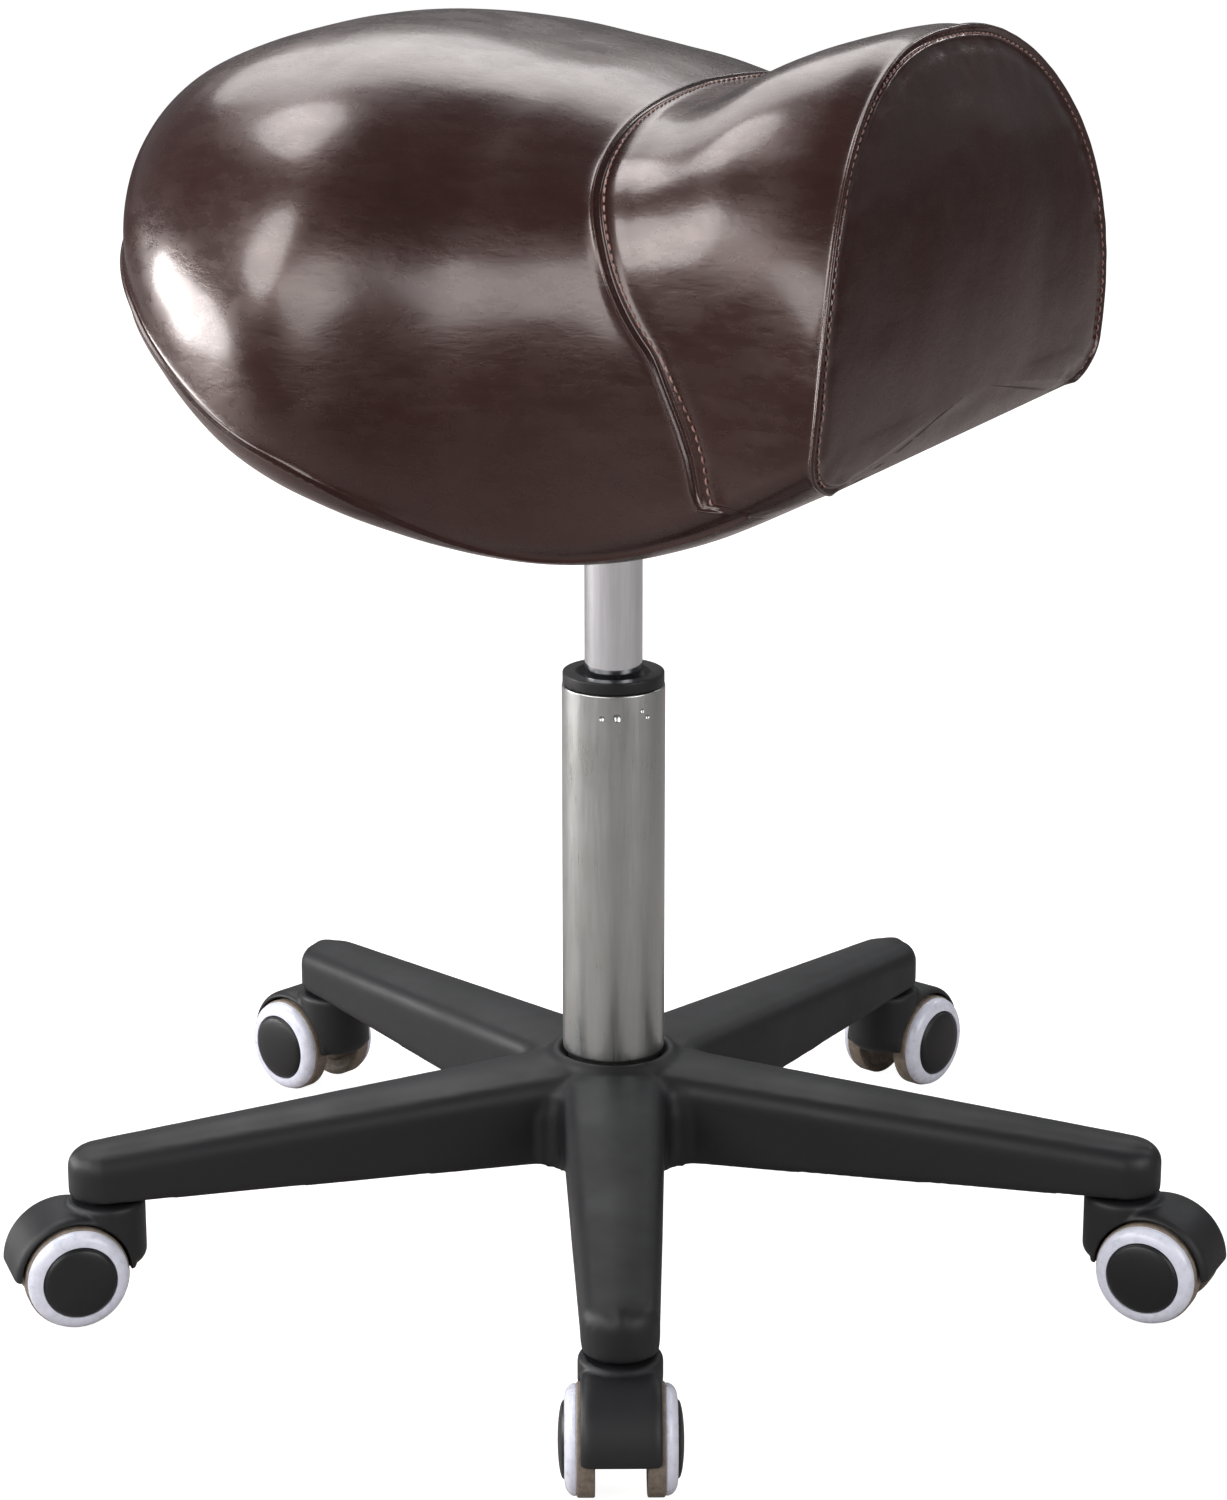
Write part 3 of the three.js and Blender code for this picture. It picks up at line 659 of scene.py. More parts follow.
def studio_floor():
    """White paper lit from beneath, as the camera sees it."""
    made, tree, shader = material("studio_floor")
    cloud = grain(tree, 400, place(tree), detail=2)
    seen = node(tree, "LightPath").outputs["Is Camera Ray"]
    connect(
        tree, shader,
        Base_Color=shades(tree, cloud, (0.4, (0.40, 0.37, 0.36)), (0.6, (0.43, 0.40, 0.39))),
        Roughness=0.9,
        Emission_Color=(1, 1, 1, 1),
        Emission_Strength=between(tree, seen, 0, FLOOR_GLOW),
        Specular_IOR_Level=0.1,
    )
    return made


def finish_with(made, *finishes):
    made.data.materials.clear()
    for one in finishes:
        made.data.materials.append(one)
    return made


# ---- seat surface
# A place on the cushion is (v, q). v runs forward: 0 at the back, 1 at the main seam, 2 at the end seam and
# 3 in the middle of the end panel. q runs round it: 0 on the crest, 1 at the rim, 2 where the band has
# turned under and 3 in the middle of the underside.

def back_round(s, power, root):
    """How the seat shrinks towards its round back: 1 in front, 0 at the very back."""
    back = np.clip((BACK_ROUND_FROM - s) / (BACK_ROUND_FROM - SEAT_BACK), 0, 1)
    return (1 - back ** power) ** (1 / root)


def seat_half_width(s):
    return through(HALF_WIDTHS, s) * back_round(s, PLAN_POWER, PLAN_POWER)


def arch_angles(share):
    """Angles round the arch that share its length evenly, found on a middling cross-section."""
    x = np.linspace(0, 1, 2000)
    angle = math.pi / 2 * x ** 2 / (x ** 2 + (1 - x) ** 2)
    across = MIDDLING_ARCH[0] * np.sin(angle) ** (2 / MIDDLING_ARCH[2])
    upward = MIDDLING_ARCH[1] * np.cos(angle) ** (2 / MIDDLING_ARCH[3])
    run = np.concatenate([[0], np.cumsum(np.hypot(np.diff(across), np.diff(upward)))])
    return np.interp(share, run / run[-1], angle)


def board_ceiling(s, w, edge):
    """Just above the seat board, which arches across and lifts at its back."""
    lift = BOARD_LIFT * np.clip((BOARD_LIFT_FROM - s) / 80, 0, 1) ** 2
    fall = BOARD_ARCH * np.clip((np.abs(w) - BOARD_FLAT) / (edge - BOARD_FLAT), 0, 1) ** 2
    return BOARD_TOP + lift - fall + 0.6


def sleeve(s, q):
    """The point of the cushion's outside or underside at station s: station, half width and height."""
    rim = through(RIM_HEIGHTS, s)
    crest = rim + (through(CREST_HEIGHTS, s) - rim) * back_round(s, CROWN_POWER, 2)
    half_width = np.maximum(seat_half_width(s), 0.5)
    share = q + rim_seam_shift(s) * np.where(q < 1, smooth(0.8, 1, q), 1 - smooth(1, 2, q))
    angle = arch_angles(np.clip(share, 0, 1))
    turn = np.clip(share - 1, 0, 1) * math.pi / 2
    inset = np.minimum(BAND_INSET, half_width * 0.7)
    w = half_width * np.sin(angle) ** (2 / through(WIDTH_POWERS, s)) - inset * (1 - np.cos(turn))
    up = np.maximum(np.cos(angle), 0) ** (2 / through(HEIGHT_POWERS, s))
    drop = BAND_DROP + BACK_BAND_DROP * (1 - smooth(-185, -140, s))
    z = rim + (crest - rim) * up - drop * np.sin(turn)

    under = np.clip(q - 2, 0, 1)
    band_end = half_width - inset
    edge = np.maximum(half_width - BOARD_INSET, BOARD_FLAT + 2)
    wall = np.minimum(edge + 0.3, band_end * 0.93)
    w_under = np.where(under < WALL_FOOT, band_end + (wall - band_end) * under / WALL_FOOT,
                       wall * (1 - np.clip((under - WALL_HEAD) / (1 - WALL_HEAD), 0, 1)))
    beneath = smooth(BOARD_BACK - 3, BOARD_BACK, s) * (1 - smooth(BOARD_FRONT, BOARD_FRONT + 3, s))
    rise = smooth(WALL_FOOT, WALL_HEAD, under) * beneath
    z_band = rim - drop
    z_under = z_band + (board_ceiling(s, w_under, edge) - z_band) * rise
    w = np.where(q > 2, w_under, w)
    z = np.where(q > 2, z_under, z)
    return s, w, z


def rim_seam_shift(s):
    """How far the rim seam has moved down the band, which takes it out of sight at the flanks."""
    return 0.45 * smooth(-70, 60, s)


def end_bow(s, z):
    """How far the middle of the pommel's end stands forward of its top and foot."""
    along = np.clip((s - 60) / (SEAT_FRONT - 60), 0, 1)
    return END_BOW * along * np.maximum(0, 1 - ((z - END_BOW_MIDDLE) / END_BOW_REACH) ** 2)


def cushion_points(v, q):
    """Points (x, y, z) in millimetres of the sitter's left half at these places."""
    seam = through(MAIN_SEAM, q)
    main = SEAT_BACK + 0.4 + (seam - SEAT_BACK - 0.4) * np.clip(v, 0, 1) ** BACK_CLUSTER
    pommel = seam + (SEAT_FRONT - seam) * np.clip(v - 1, 0, 1)
    s, w, z = sleeve(np.where(v < 1, main, pommel), q)
    inward = np.clip(v - 2, 0, 1)
    middle = np.clip(z, *PANEL_SPINE)
    w = w * (1 - inward)
    z = z + (middle - z) * inward
    s = s + end_bow(s, z) + PANEL_CROWN * (1 - (1 - inward) ** 3)
    return np.stack([w, -s, z], -1)


def seam_spread(q):
    """How much longer a millimetre across the main seam is when it is measured along the seat."""
    step = 0.01
    slope = (through(MAIN_SEAM, q + step) - through(MAIN_SEAM, q - step)) / (2 * step)
    length = np.where(q < 1, ARCH_LENGTH, BAND_LENGTH)
    return np.sqrt(1 + (slope / length) ** 2)


def cushion_grid():
    """The places (v, q) of the finished mesh: close rows by the seams, and which rows lie where."""
    arch = np.linspace(0, 1 - RIM_STEPS[-1] / ARCH_LENGTH, ARCH_COLUMNS)
    near_rim = 1 - np.array(RIM_STEPS[-2::-1]) / ARCH_LENGTH
    past_rim = 1 + np.array(RIM_STEPS[1:]) / BAND_LENGTH
    band = np.linspace(past_rim[-1], 2, BAND_COLUMNS)[1:]
    wall = [2 + WALL_FOOT * 0.5, 2 + WALL_FOOT, 2 + (WALL_FOOT + WALL_HEAD) / 2, 2 + WALL_HEAD]
    under = np.linspace(2 + WALL_HEAD, 3, UNDER_COLUMNS)[1:]
    half = np.concatenate([arch, near_rim, past_rim, band, wall, under])
    q = np.concatenate([half, half[-2:0:-1]])

    seam = through(MAIN_SEAM, q)
    spread = seam_spread(q)
    main_length = seam - SEAT_BACK
    pommel_length = SEAT_FRONT - seam
    room = np.minimum(1, pommel_length / (2 * SEAM_STEPS[-1] * spread + 6))
    panel_length = np.hypot(cushion_points(np.full_like(q, 2.0), q)[:, 0], 60)
    rows, marks = [], []

    def add(v, mark=""):
        rows.append(v)
        marks.append(mark)

    last = 1 - SEAM_STEPS[-1] * spread / main_length / BACK_CLUSTER
    for t in np.linspace(0, 1, MAIN_ROWS, endpoint=False):
        add(last * t)
    for step in SEAM_STEPS[::-1]:
        add(1 - step * spread / main_length / BACK_CLUSTER, "main_seam" if step == 0 else "")
    for step in SEAM_STEPS[1:]:
        add(1 + step * spread * room / pommel_length, "main_stitch" if step == TOPSTITCH_REACH else "")
    start = 1 + SEAM_STEPS[-1] * spread * room / pommel_length
    stop = 2 - SEAM_STEPS[-1] * room / pommel_length
    for t in np.linspace(0, 1, POMMEL_ROWS + 1)[1:-1]:
        add(start + (stop - start) * t)
    for step in SEAM_STEPS[::-1]:
        add(2 - step * room / pommel_length, "end_seam" if step == 0 else "")
    for step in SEAM_STEPS[1:]:
        add(2 + step / panel_length, "end_stitch" if step == TOPSTITCH_REACH else "")
    start = 2 + SEAM_STEPS[-1] / panel_length
    for t in np.linspace(0, 1, PANEL_ROWS + 1)[1:]:
        add(start + (3 - start) * t)
    return np.array(rows), q, marks, len(half)


def both_sides(points, half):
    """Points round a whole ring, from those of the sitter's left half."""
    points = points.copy()
    points[:, half:, 0] *= -1
    return points


def ring_mesh(name, points):
    """A closed mesh from rows of points round the cushion. The last row closes along the panel's spine."""
    rows, columns = points.shape[:2]
    faces = grid_faces(rows, columns)
    faces.append(tuple(range(columns)))
    return new_object(name, points.reshape(-1, 3), faces)


def weld(made, distance=0.02):
    """Joins points that lie together, which closes the ends of the rows."""
    shell = bmesh.new()
    shell.from_mesh(made.data)
    bmesh.ops.remove_doubles(shell, verts=shell.verts, dist=distance * MM)
    bmesh.ops.dissolve_degenerate(shell, edges=shell.edges, dist=distance * MM * 0.5)
    shell.to_mesh(made.data)
    shell.free()
    return made


def normals_of(points):
    """Unit normals of a grid of points that closes round its columns, pointing out."""
    along = np.gradient(points, axis=0)
    around = (np.roll(points, -1, 1) - np.roll(points, 1, 1)) / 2
    normal = np.cross(around, along)
    length = np.linalg.norm(normal, axis=-1, keepdims=True)
    return normal / np.maximum(length, 1e-9)


def spread_over(values, at, places):
    """Values known at some places along their first axis, spread smoothly over other places."""
    i = np.clip(np.searchsorted(at, places, side="right") - 1, 0, len(at) - 2)
    width = at[i + 1] - at[i]
    t = (places - at[i]) / width
    before, after = np.maximum(i - 1, 0), np.minimum(i + 2, len(at) - 1)
    shape = (-1,) + (1,) * (values.ndim - 1)
    first = (values[i + 1] - values[before]) / (at[i + 1] - at[before]).reshape(shape)
    second = (values[after] - values[i]) / (at[after] - at[i]).reshape(shape)
    return hermite(t.reshape(shape), width.reshape(shape), values[i], values[i + 1], first, second)


def blown_up(made, pinned):
    """Where the points of a closed mesh go when its cloth is put under pressure. Pinned points stay."""
    group = made.vertex_groups.new(name="pinned")
    group.add([int(i) for i in np.flatnonzero(pinned)], 1.0, "REPLACE")
    cloth = made.modifiers.new("pad", "CLOTH")
    settings = cloth.settings
    settings.vertex_group_mass = "pinned"
    for key, value in PAD_CLOTH.items():
        setattr(settings, key, value)
    settings.effector_weights.gravity = 0
    cloth.point_cache.frame_start = 1
    cloth.point_cache.frame_end = PAD_FRAMES
    for step in range(1, PAD_FRAMES + 1):
        bpy.context.scene.frame_set(step)
    seen = made.evaluated_get(bpy.context.evaluated_depsgraph_get())
    result = np.empty(len(seen.data.vertices) * 3, np.float32)
    seen.data.vertices.foreach_get("co", result)
    bpy.context.scene.frame_set(1)
    return result.reshape(-1, 3) / MM


def swelling():
    """How far the padding pushes the cover out, on a coarse grid: its rows, its columns and the amounts."""
    v = np.concatenate([np.linspace(0, 1, 34), np.linspace(1, 2, 10)[1:], np.linspace(2, 3, 9)[1:]])
    half = np.concatenate([np.linspace(0, 1, 30), np.linspace(1, 2, 5)[1:], [2 + WALL_FOOT, 2 + WALL_HEAD],
                           np.linspace(2 + WALL_HEAD, 3, 6)[1:]])
    q = np.concatenate([half, half[-2:0:-1]])
    places_v, places_q = np.meshgrid(v, q, indexing="ij")
    points = both_sides(cushion_points(places_v, places_q), len(half))
    normal = normals_of(points)
    held = np.minimum.reduce([np.abs(places_v - 1) * 6, np.abs(places_v - 2) * 4, np.abs(places_q - 1) * 4])
    held = np.where(places_q > 1.3, 0, smooth(0, 1, held))
    start = points - normal * START_SHRINK * (0.35 + 0.65 * held[..., None])
    pad = weld(ring_mesh("pad", start))
    corners = np.array([c.co for c in pad.data.vertices]) / MM
    nearest = nearest_points(corners, start.reshape(-1, 3))
    pinned = np.zeros(len(corners), bool)
    pinned[nearest[(held < 0.05).ravel()]] = True
    result = blown_up(pad, pinned)
    moved = np.sum((result[nearest].reshape(start.shape) - points) * normal, axis=-1)
    remove(pad)
    moved = SWELL_SHARE * np.clip(moved, -START_SHRINK, SWELL_CAP - START_SHRINK)
    for _ in range(SWELL_EVENING):
        moved[1:-1] = (moved[:-2] + 2 * moved[1:-1] + moved[2:]) / 4
        moved = (np.roll(moved, 1, 1) + 2 * moved + np.roll(moved, -1, 1)) / 4
    moved[-1] = (moved[-1] + np.roll(moved[-1][::-1], 1)) / 2
    return v, q, moved, len(half)


def nearest_points(cloud, places):
    """The index of the cloud's nearest point to each place."""
    found = np.empty(len(places), int)
    for start in range(0, len(places), 500):
        part = places[start:start + 500]
        found[start:start + 500] = np.argmin(((part[:, None] - cloud[None]) ** 2).sum(-1), axis=1)
    return found


def distance_to(line, points):
    """How far each point is from a line of points."""
    flat = points.reshape(-1, 3)
    best = np.full(len(flat), 1e9)
    for start, stop in zip(line[:-1], line[1:]):
        along = stop - start
        t = np.clip(((flat - start) @ along) / max(along @ along, 1e-9), 0, 1)
        best = np.minimum(best, ((flat - start - t[:, None] * along) ** 2).sum(1))
    return np.sqrt(best).reshape(points.shape[:-1])


def sewn_edge(distance, stitched):
    """The relief beside a seam: a tight groove, then a rolled edge, which a row of stitches holds down."""
    groove, ridge, channel, beyond = (
        height * np.exp(-((distance - centre) / width) ** 2)
        for height, centre, width in (GROOVE, RIDGE, CHANNEL, BEYOND))
    height, reach = PLAIN_EDGE
    rolled = height * (distance / reach) * np.exp(1 - distance / reach)
    return groove + np.where(stitched, ridge + channel + beyond, rolled)


def waves(spot, height, size, offset):
    """Smooth random relief at a point, its blots about this size along each axis."""
    return height * noise.noise(Vector([p / s + o for p, s, o in zip(spot, size, offset)]))


def undulation(points):
    """The slight unevenness of hand-pulled upholstery, in millimetres."""
    made = [waves(spot, *BROAD_WAVES) + waves(spot, *SMALL_WAVES) for spot in points.reshape(-1, 3)]
    return np.array(made).reshape(points.shape[:-1])


def gathers(points, distance):
    """Small puckers where the end panel is eased into its seam."""
    height, size, middle, spread, reach = PUCKERS
    flat = points.reshape(-1, 3)
    near = distance.reshape(-1)
    made = np.zeros(len(flat))
    for i in np.flatnonzero(near < reach):
        x, _, z = flat[i]
        made[i] = noise.noise(Vector((x / size, 3.0, z / size))) * math.exp(-abs(near[i] - middle) / spread)
    return height * made.reshape(distance.shape)


def padding(rows, q, half):
    """How far the padding pushes each point of the finished grid out."""
    coarse_v, coarse_q, amount, coarse_half = swelling()
    per_row = spread_sides(amount, coarse_q, coarse_half, q, half)
    swell = np.stack([spread_over(per_row[:, j], coarse_v, rows[:, j]) for j in range(len(q))], axis=1)
    swell = swell * (1 - smooth(1.4, 2, np.broadcast_to(q, rows.shape)))
    calm = smooth(2.2, 2.95, rows)
    return swell * (1 - calm) + swell[-1].mean() * calm


def sewn_columns(q, half):
    """The columns from the foot of one side's band, over the crest, to the foot of the other's."""
    sewn = [j for j in range(len(q)) if q[j] <= 2]
    far_side = next(i for i, j in enumerate(sewn) if j >= half)
    return sewn[far_side:] + sewn[:far_side]


def seat_cushion():
    """The cushion as one closed cover, with its seams sunk in, and the rows where thread runs."""
    rows, q, marks, half = cushion_grid()
    places_q = np.broadcast_to(q, rows.shape)
    points = both_sides(cushion_points(rows, places_q), half)
    normal = normals_of(points)
    ahead = smooth(2.5, 2.9, rows)[..., None]
    normal = normal * (1 - ahead) + np.array([0, -1, 0]) * ahead

    points = points + normal * padding(rows, q, half)[..., None]

    order = sewn_columns(q, half)
    to_main = distance_to(points[marks.index("main_seam")][order], points)
    to_end = distance_to(points[marks.index("end_seam")][order], points)
    rim_column = int(np.argmin(np.abs(q[:half] - 1)))
    back = points[:marks.index("main_seam") + 1]
    left, right = back[:, rim_column], back[:, len(q) - rim_column]
    to_rim = distance_to(np.concatenate([left[::-1], right]), points)

    relief = sewn_edge(to_main, rows > 1) * (1 - smooth(*MAIN_SEAM_FADES, places_q))
    relief += sewn_edge(to_end, rows > 2) * (1 - smooth(1.6, 2, places_q))
    behind = (rows < 1) | (to_main < 1)
    relief += sewn_edge(to_rim, False) * behind
    relief += gathers(points, to_end) * smooth(1.999, 2.001, rows)
    outside = np.maximum(1 - smooth(1.6, 2, places_q), smooth(2.1, 2.4, rows))
    relief += undulation(points) * smooth(1.5, 6, np.minimum(to_main, to_end)) * outside
    points = points + normal * relief[..., None]

    cushion = shade_smooth(outward(weld(ring_mesh("seat_cushion", points))))
    finish_with(cushion, leather())
    threads = []
    for mark, last in (("main_stitch", MAIN_SEAM_FADES[0]), ("end_stitch", END_STITCH_LAST)):
        sewn_here = [j for j in order if q[j] <= last]
        threads.append(points[marks.index(mark)][sewn_here])
    return cushion, threads


def spread_sides(amount, coarse_q, coarse_half, q, half):
    """The coarse amounts of each row, spread over the fine columns of each side."""
    left = spread_over(amount[:, :coarse_half].T, coarse_q[:coarse_half], q[:half])
    mirrored = np.concatenate([amount[:, :1], amount[:, :coarse_half - 2:-1]], axis=1)
    right_q = np.concatenate([[0], coarse_q[:coarse_half - 2:-1]])
    right = spread_over(mirrored.T, right_q, q[half:])
    return np.concatenate([left, right]).T


def stitches(name, lines, surface):
    """Rows of stitches: short rounded lengths of thread, each dipping into the cover at its ends."""
    tree = searchable(surface)
    points, faces = [], []
    for line in lines:
        run = np.concatenate([[0], np.cumsum(np.linalg.norm(np.diff(line, axis=0), axis=1))])
        for start in np.arange(STITCH_GAP, run[-1] - STITCH_PITCH, STITCH_PITCH):
            reach = start + np.linspace(0, STITCH_LENGTH, 7)
            path = np.stack([np.interp(reach, run, line[:, k]) for k in range(3)], 1)
            add_stitch(points, faces, path, tree)
    return shade_smooth(new_object(name, np.array(points), faces))


def searchable(surface):
    """A search tree of a mesh's faces."""
    return BVHTree.FromPolygons([v.co / MM for v in surface.data.vertices],
                                [p.vertices for p in surface.data.polygons])


def add_stitch(points, faces, path, tree):
    """Adds one stitch's points and faces: a round thread that rises between its ends."""
    start = len(points)
    along = path[-1] - path[0]
    along = along / np.linalg.norm(along)
    for share, spot in zip(np.linspace(0, 1, len(path)), path):
        found, normal, _, _ = tree.find_nearest(Vector(spot))
        normal = np.array(normal)
        across = np.cross(along, normal)
        bulge = math.sin(math.pi * share)
        radius = THREAD_RADIUS * (0.35 + 0.65 * bulge ** 0.5)
        centre = np.array(found) + normal * (THREAD_RADIUS * 1.1 * bulge - 0.15)
        for turn in np.arange(THREAD_SIDES) * 2 * math.pi / THREAD_SIDES:
            points.append(centre + radius * (math.cos(turn) * across + math.sin(turn) * normal))
    faces += grid_faces(len(path), THREAD_SIDES, start=start)
    end = start + (len(path) - 1) * THREAD_SIDES
    faces.append(tuple(range(start + THREAD_SIDES - 1, start - 1, -1)))
    faces.append(tuple(range(end, end + THREAD_SIDES)))


# ---- star base

def arm_top(reach):
    """The height of an arm's top this far from the column."""
    return float(np.interp(reach, [30, STEM_CIRCLE + ARM_END_RADIUS], [ARM_TOP_HUB, ARM_TOP_END]))


def arm_section(reach, half_width, drop=0.0):
    """One cross-section of an arm: upright sides, softly rounded shoulders and a crowned top."""
    top = arm_top(reach) - drop
    foot = float(np.interp(reach, [40, 236], [HUB_UNDERSIDE, ARM_UNDERSIDE]))
    corner = min(ARM_SHOULDER, half_width * 0.7)
    half = [(half_width - 1.2, foot), (half_width, foot + 1.5)]
    for turn in np.radians(np.linspace(0, 90, 7)):
        half.append((half_width - corner * (1 - math.cos(turn)),
                     top - ARM_CROWN - corner * (1 - math.sin(turn))))
    for share in (0.66, 0.33):
        half.append(((half_width - corner) * share, top - ARM_CROWN * share ** 2))
    ring = half + [(0, top)] + [(-w, z) for w, z in reversed(half)]
    return np.array([(reach, w, z) for w, z in ring])


def base_arm(number):
    """One arm along +X, with its hollows and the hole for its caster's stem."""
    sections = [arm_section(*station) for station in ARM_STATIONS]
    for turn in np.radians(ARM_END_TURNS):
        reach = STEM_CIRCLE + ARM_END_RADIUS * math.sin(turn)
        drop = ARM_END_DROP * math.sin(turn) ** 6
        sections.append(arm_section(reach, ARM_END_RADIUS * math.cos(turn), drop))
    arm = loft(f"arm_{number}", sections)
    hollows = []
    for near, far in HOLLOW_SPANS:
        rings = []
        for reach in (near, far):
            half = float(np.interp(reach, [44, 240], [24.3, 17.8])) - ARM_WALL
            roof = arm_top(reach) - HOLLOW_ROOF
            side = [(half, HOLLOW_FOOT), (half, roof - HOLLOW_HAUNCH), (half * 0.6, roof)]
            outline = side + [(-w, z) for w, z in reversed(side)]
            rings.append(np.array([(reach, w, z) for w, z in outline]))
        hollows.append(loft("hollow", rings))
    radius, top = STEM_SOCKET
    socket = turned("socket", plain(radius, HOLLOW_FOOT, top), 24)
    hollows.append(turn_mesh(socket, Matrix.Translation((STEM_CIRCLE * MM, 0, 0))))
    return cut(arm, *hollows)


def corner_web(turn):
    """The fillet that fills the sharp corner between two arms, at the hub."""
    step = math.radians(180 / ARM_COUNT)
    widest = max(half_width for _, half_width in ARM_STATIONS)
    centre = (widest + WEB_RADIUS) / math.sin(step)
    outline = [(WEB_APEX, 0.0)]
    tangent = math.radians(90) - step
    for angle in np.linspace(tangent, -tangent, 9):
        outline.append((centre - WEB_RADIUS * math.cos(angle), WEB_RADIUS * math.sin(angle)))
    rings = [np.array([(x * scale, y * scale, z) for x, y in outline]) for z, scale in WEB_LEVELS]
    return turn_mesh(loft("web", rings), Matrix.Rotation(turn, 4, "Z"))


def base_casting():
    """The star base as one moulding: hub, arms and the webs between them."""
    parts = [turned("hub", rounded(HUB_PROFILE, 3))]
    for i in range(ARM_COUNT):
        turn = math.radians(BASE_TURN + i * 360 / ARM_COUNT)
        parts.append(turn_mesh(base_arm(i + 1), Matrix.Rotation(turn, 4, "Z")))
        parts.append(corner_web(turn + math.radians(180 / ARM_COUNT)))
    return moulded(joined("base_casting", parts), 1.5, 5)


# ---- casters

def lay_on_axle(made, side=1):
    """Lays a piece turned about Z along the axle, its top facing out on that side."""
    lay = Matrix.Rotation(-side * math.pi / 2, 4, "X")
    return turn_mesh(made, Matrix.Translation((TRAIL * MM, 0, WHEEL_RADIUS * MM)) @ lay)


def cross_bar(name, profile, sides=ROUND):
    return lay_on_axle(turned(name, profile, sides))


def block(name, low, high):
    """A box from its lowest to its highest corner."""
    corners = [(x, y, z) for x in (low[0], high[0]) for y in (low[1], high[1]) for z in (low[2], high[2])]
    faces = [(0, 1, 3, 2), (4, 6, 7, 5), (0, 4, 5, 1), (2, 3, 7, 6), (0, 2, 6, 4), (1, 5, 7, 3)]
    return outward(new_object(name, corners, faces))


def caster_hood():
    """The hood over a pair of wheels, about its stem's axis: fender, boss and the web between them."""
    fender = cross_bar("fender", rounded(plain(HOOD_RADIUS, -HOOD_HALF_WIDTH, HOOD_HALF_WIDTH), 5))
    below = block("below", (-60, -60, -60), (80, 60, WHEEL_RADIUS))
    room = [cross_bar("room", plain(HOOD_CLEARANCE, low, high))
            for low, high in ((WHEEL_INNER - 0.3, 50), (-50, -WHEEL_INNER + 0.3))]
    fender = cut(fender, below)
    boss = turned("boss", rounded(BOSS_PROFILE, 3))
    radius, half_width = AXLE_HUB
    axle_hub = cross_bar("axle_hub", plain(radius, -half_width, half_width), 48)
    body = moulded(joined("hood", [fender, boss, axle_hub]), 0.8, 1)
    return moulded(cut(body, *room), 0.7, 3)


def wheel(side, tread_finish, ring_finish):
    """A wheel about Z with its outer face up, then laid along the axle on its side of the caster."""
    rise = WHEEL_OUTER - RING_FROM
    ring = [(CAP_RADIUS + 0.5 + RING_WIDTH * math.cos(t), RING_FROM + rise * math.sin(t))
            for t in np.radians(np.linspace(0, 90, 12))]
    inside = [(CAP_RADIUS + 0.3, WHEEL_OUTER - 0.3), (CAP_RADIUS + 0.3, CAP_SEAT - 0.3),
              (WHEEL_BORE, CAP_SEAT - 0.3)]
    made = turned("wheel", [*rounded(TREAD_PROFILE, 0.9, 4), RING_EDGE, *ring, *inside])
    finish_with(made, tread_finish, ring_finish)
    for face in made.data.polygons:
        face.material_index = int(face.center.z > TREAD_ENDS * MM)
    return lay_on_axle(shade_smooth(made, 40), side)


def hub_cap(side, finish):
    """The domed cap in a wheel's outer face."""
    rise = [(CAP_RADIUS * math.cos(t) * 0.965, CAP_EDGE + (CAP_TOP - CAP_EDGE) * math.sin(t))
            for t in np.radians(np.linspace(0, 88, 12))]
    edge = [(0, CAP_SEAT), (CAP_RADIUS, CAP_SEAT), (CAP_RADIUS, 24.4), (CAP_RADIUS - 0.25, 24.7)]
    made = finish_with(turned("cap", edge + rise + [(0, CAP_TOP)]), finish)
    return lay_on_axle(shade_smooth(made, 40), side)


def copied(original, name, matrix):
    """A new object with its own moved copy of a mesh."""
    mesh = original.data.copy()
    mesh.name = name
    return turn_mesh(placed(name, mesh), matrix)


def casters(hood_finish, cap_finish, tread_finish, ring_finish):
    """One hood and one wheel and cap for each side, copied to the end of every arm."""
    hood = finish_with(caster_hood(), hood_finish)
    sides = {"a": 1, "b": -1}
    wheels = {letter: wheel(side, tread_finish, ring_finish) for letter, side in sides.items()}
    caps = {letter: hub_cap(side, cap_finish) for letter, side in sides.items()}
    for i, swivel in enumerate(CASTER_TURNS):
        number = i + 1
        arm = math.radians(BASE_TURN + i * 360 / ARM_COUNT)
        spot = (STEM_CIRCLE * MM * math.cos(arm), STEM_CIRCLE * MM * math.sin(arm), 0)
        matrix = Matrix.Translation(spot) @ Matrix.Rotation(arm + math.radians(swivel), 4, "Z")
        stands_for(copied(hood, f"hood_{number}", matrix), f"caster_{number}", "black_nylon",
                   f"caster_hood_{number}")
        for letter in sides:
            which = f"{number}{letter}"
            stands_for(copied(wheels[letter], f"wheel_{which}", matrix), f"wheel_{which}", "wheel_ring",
                       f"caster_wheel_{which}")
            stands_for(copied(caps[letter], f"cap_{which}", matrix), f"wheel_{which}", "black_nylon",
                       f"caster_cap_{which}")
    for original in (hood, *wheels.values(), *caps.values()):
        remove(original)


# ---- gas lift

def outer_tube():
    """The column's tube, necked at its foot, with the crimp dimples near its top."""
    tube = turned("outer_tube", rounded(TUBE_PROFILE, 0.9))
    punches = []
    for bearing, height, radius in CRIMPS:
        side = radius * 0.7
        punch = turned("punch", [(0, -radius), (side, -side), (radius, 0), (side, side), (0, radius)], 20)
        turn = math.radians(bearing)
        out = (TUBE_RADIUS + radius * 0.35) * MM
        spot = (out * math.cos(turn), out * math.sin(turn), height * MM)
        punches.append(turn_mesh(punch, Matrix.Translation(spot)))
    return shade_smooth(cut(tube, *punches), 30)


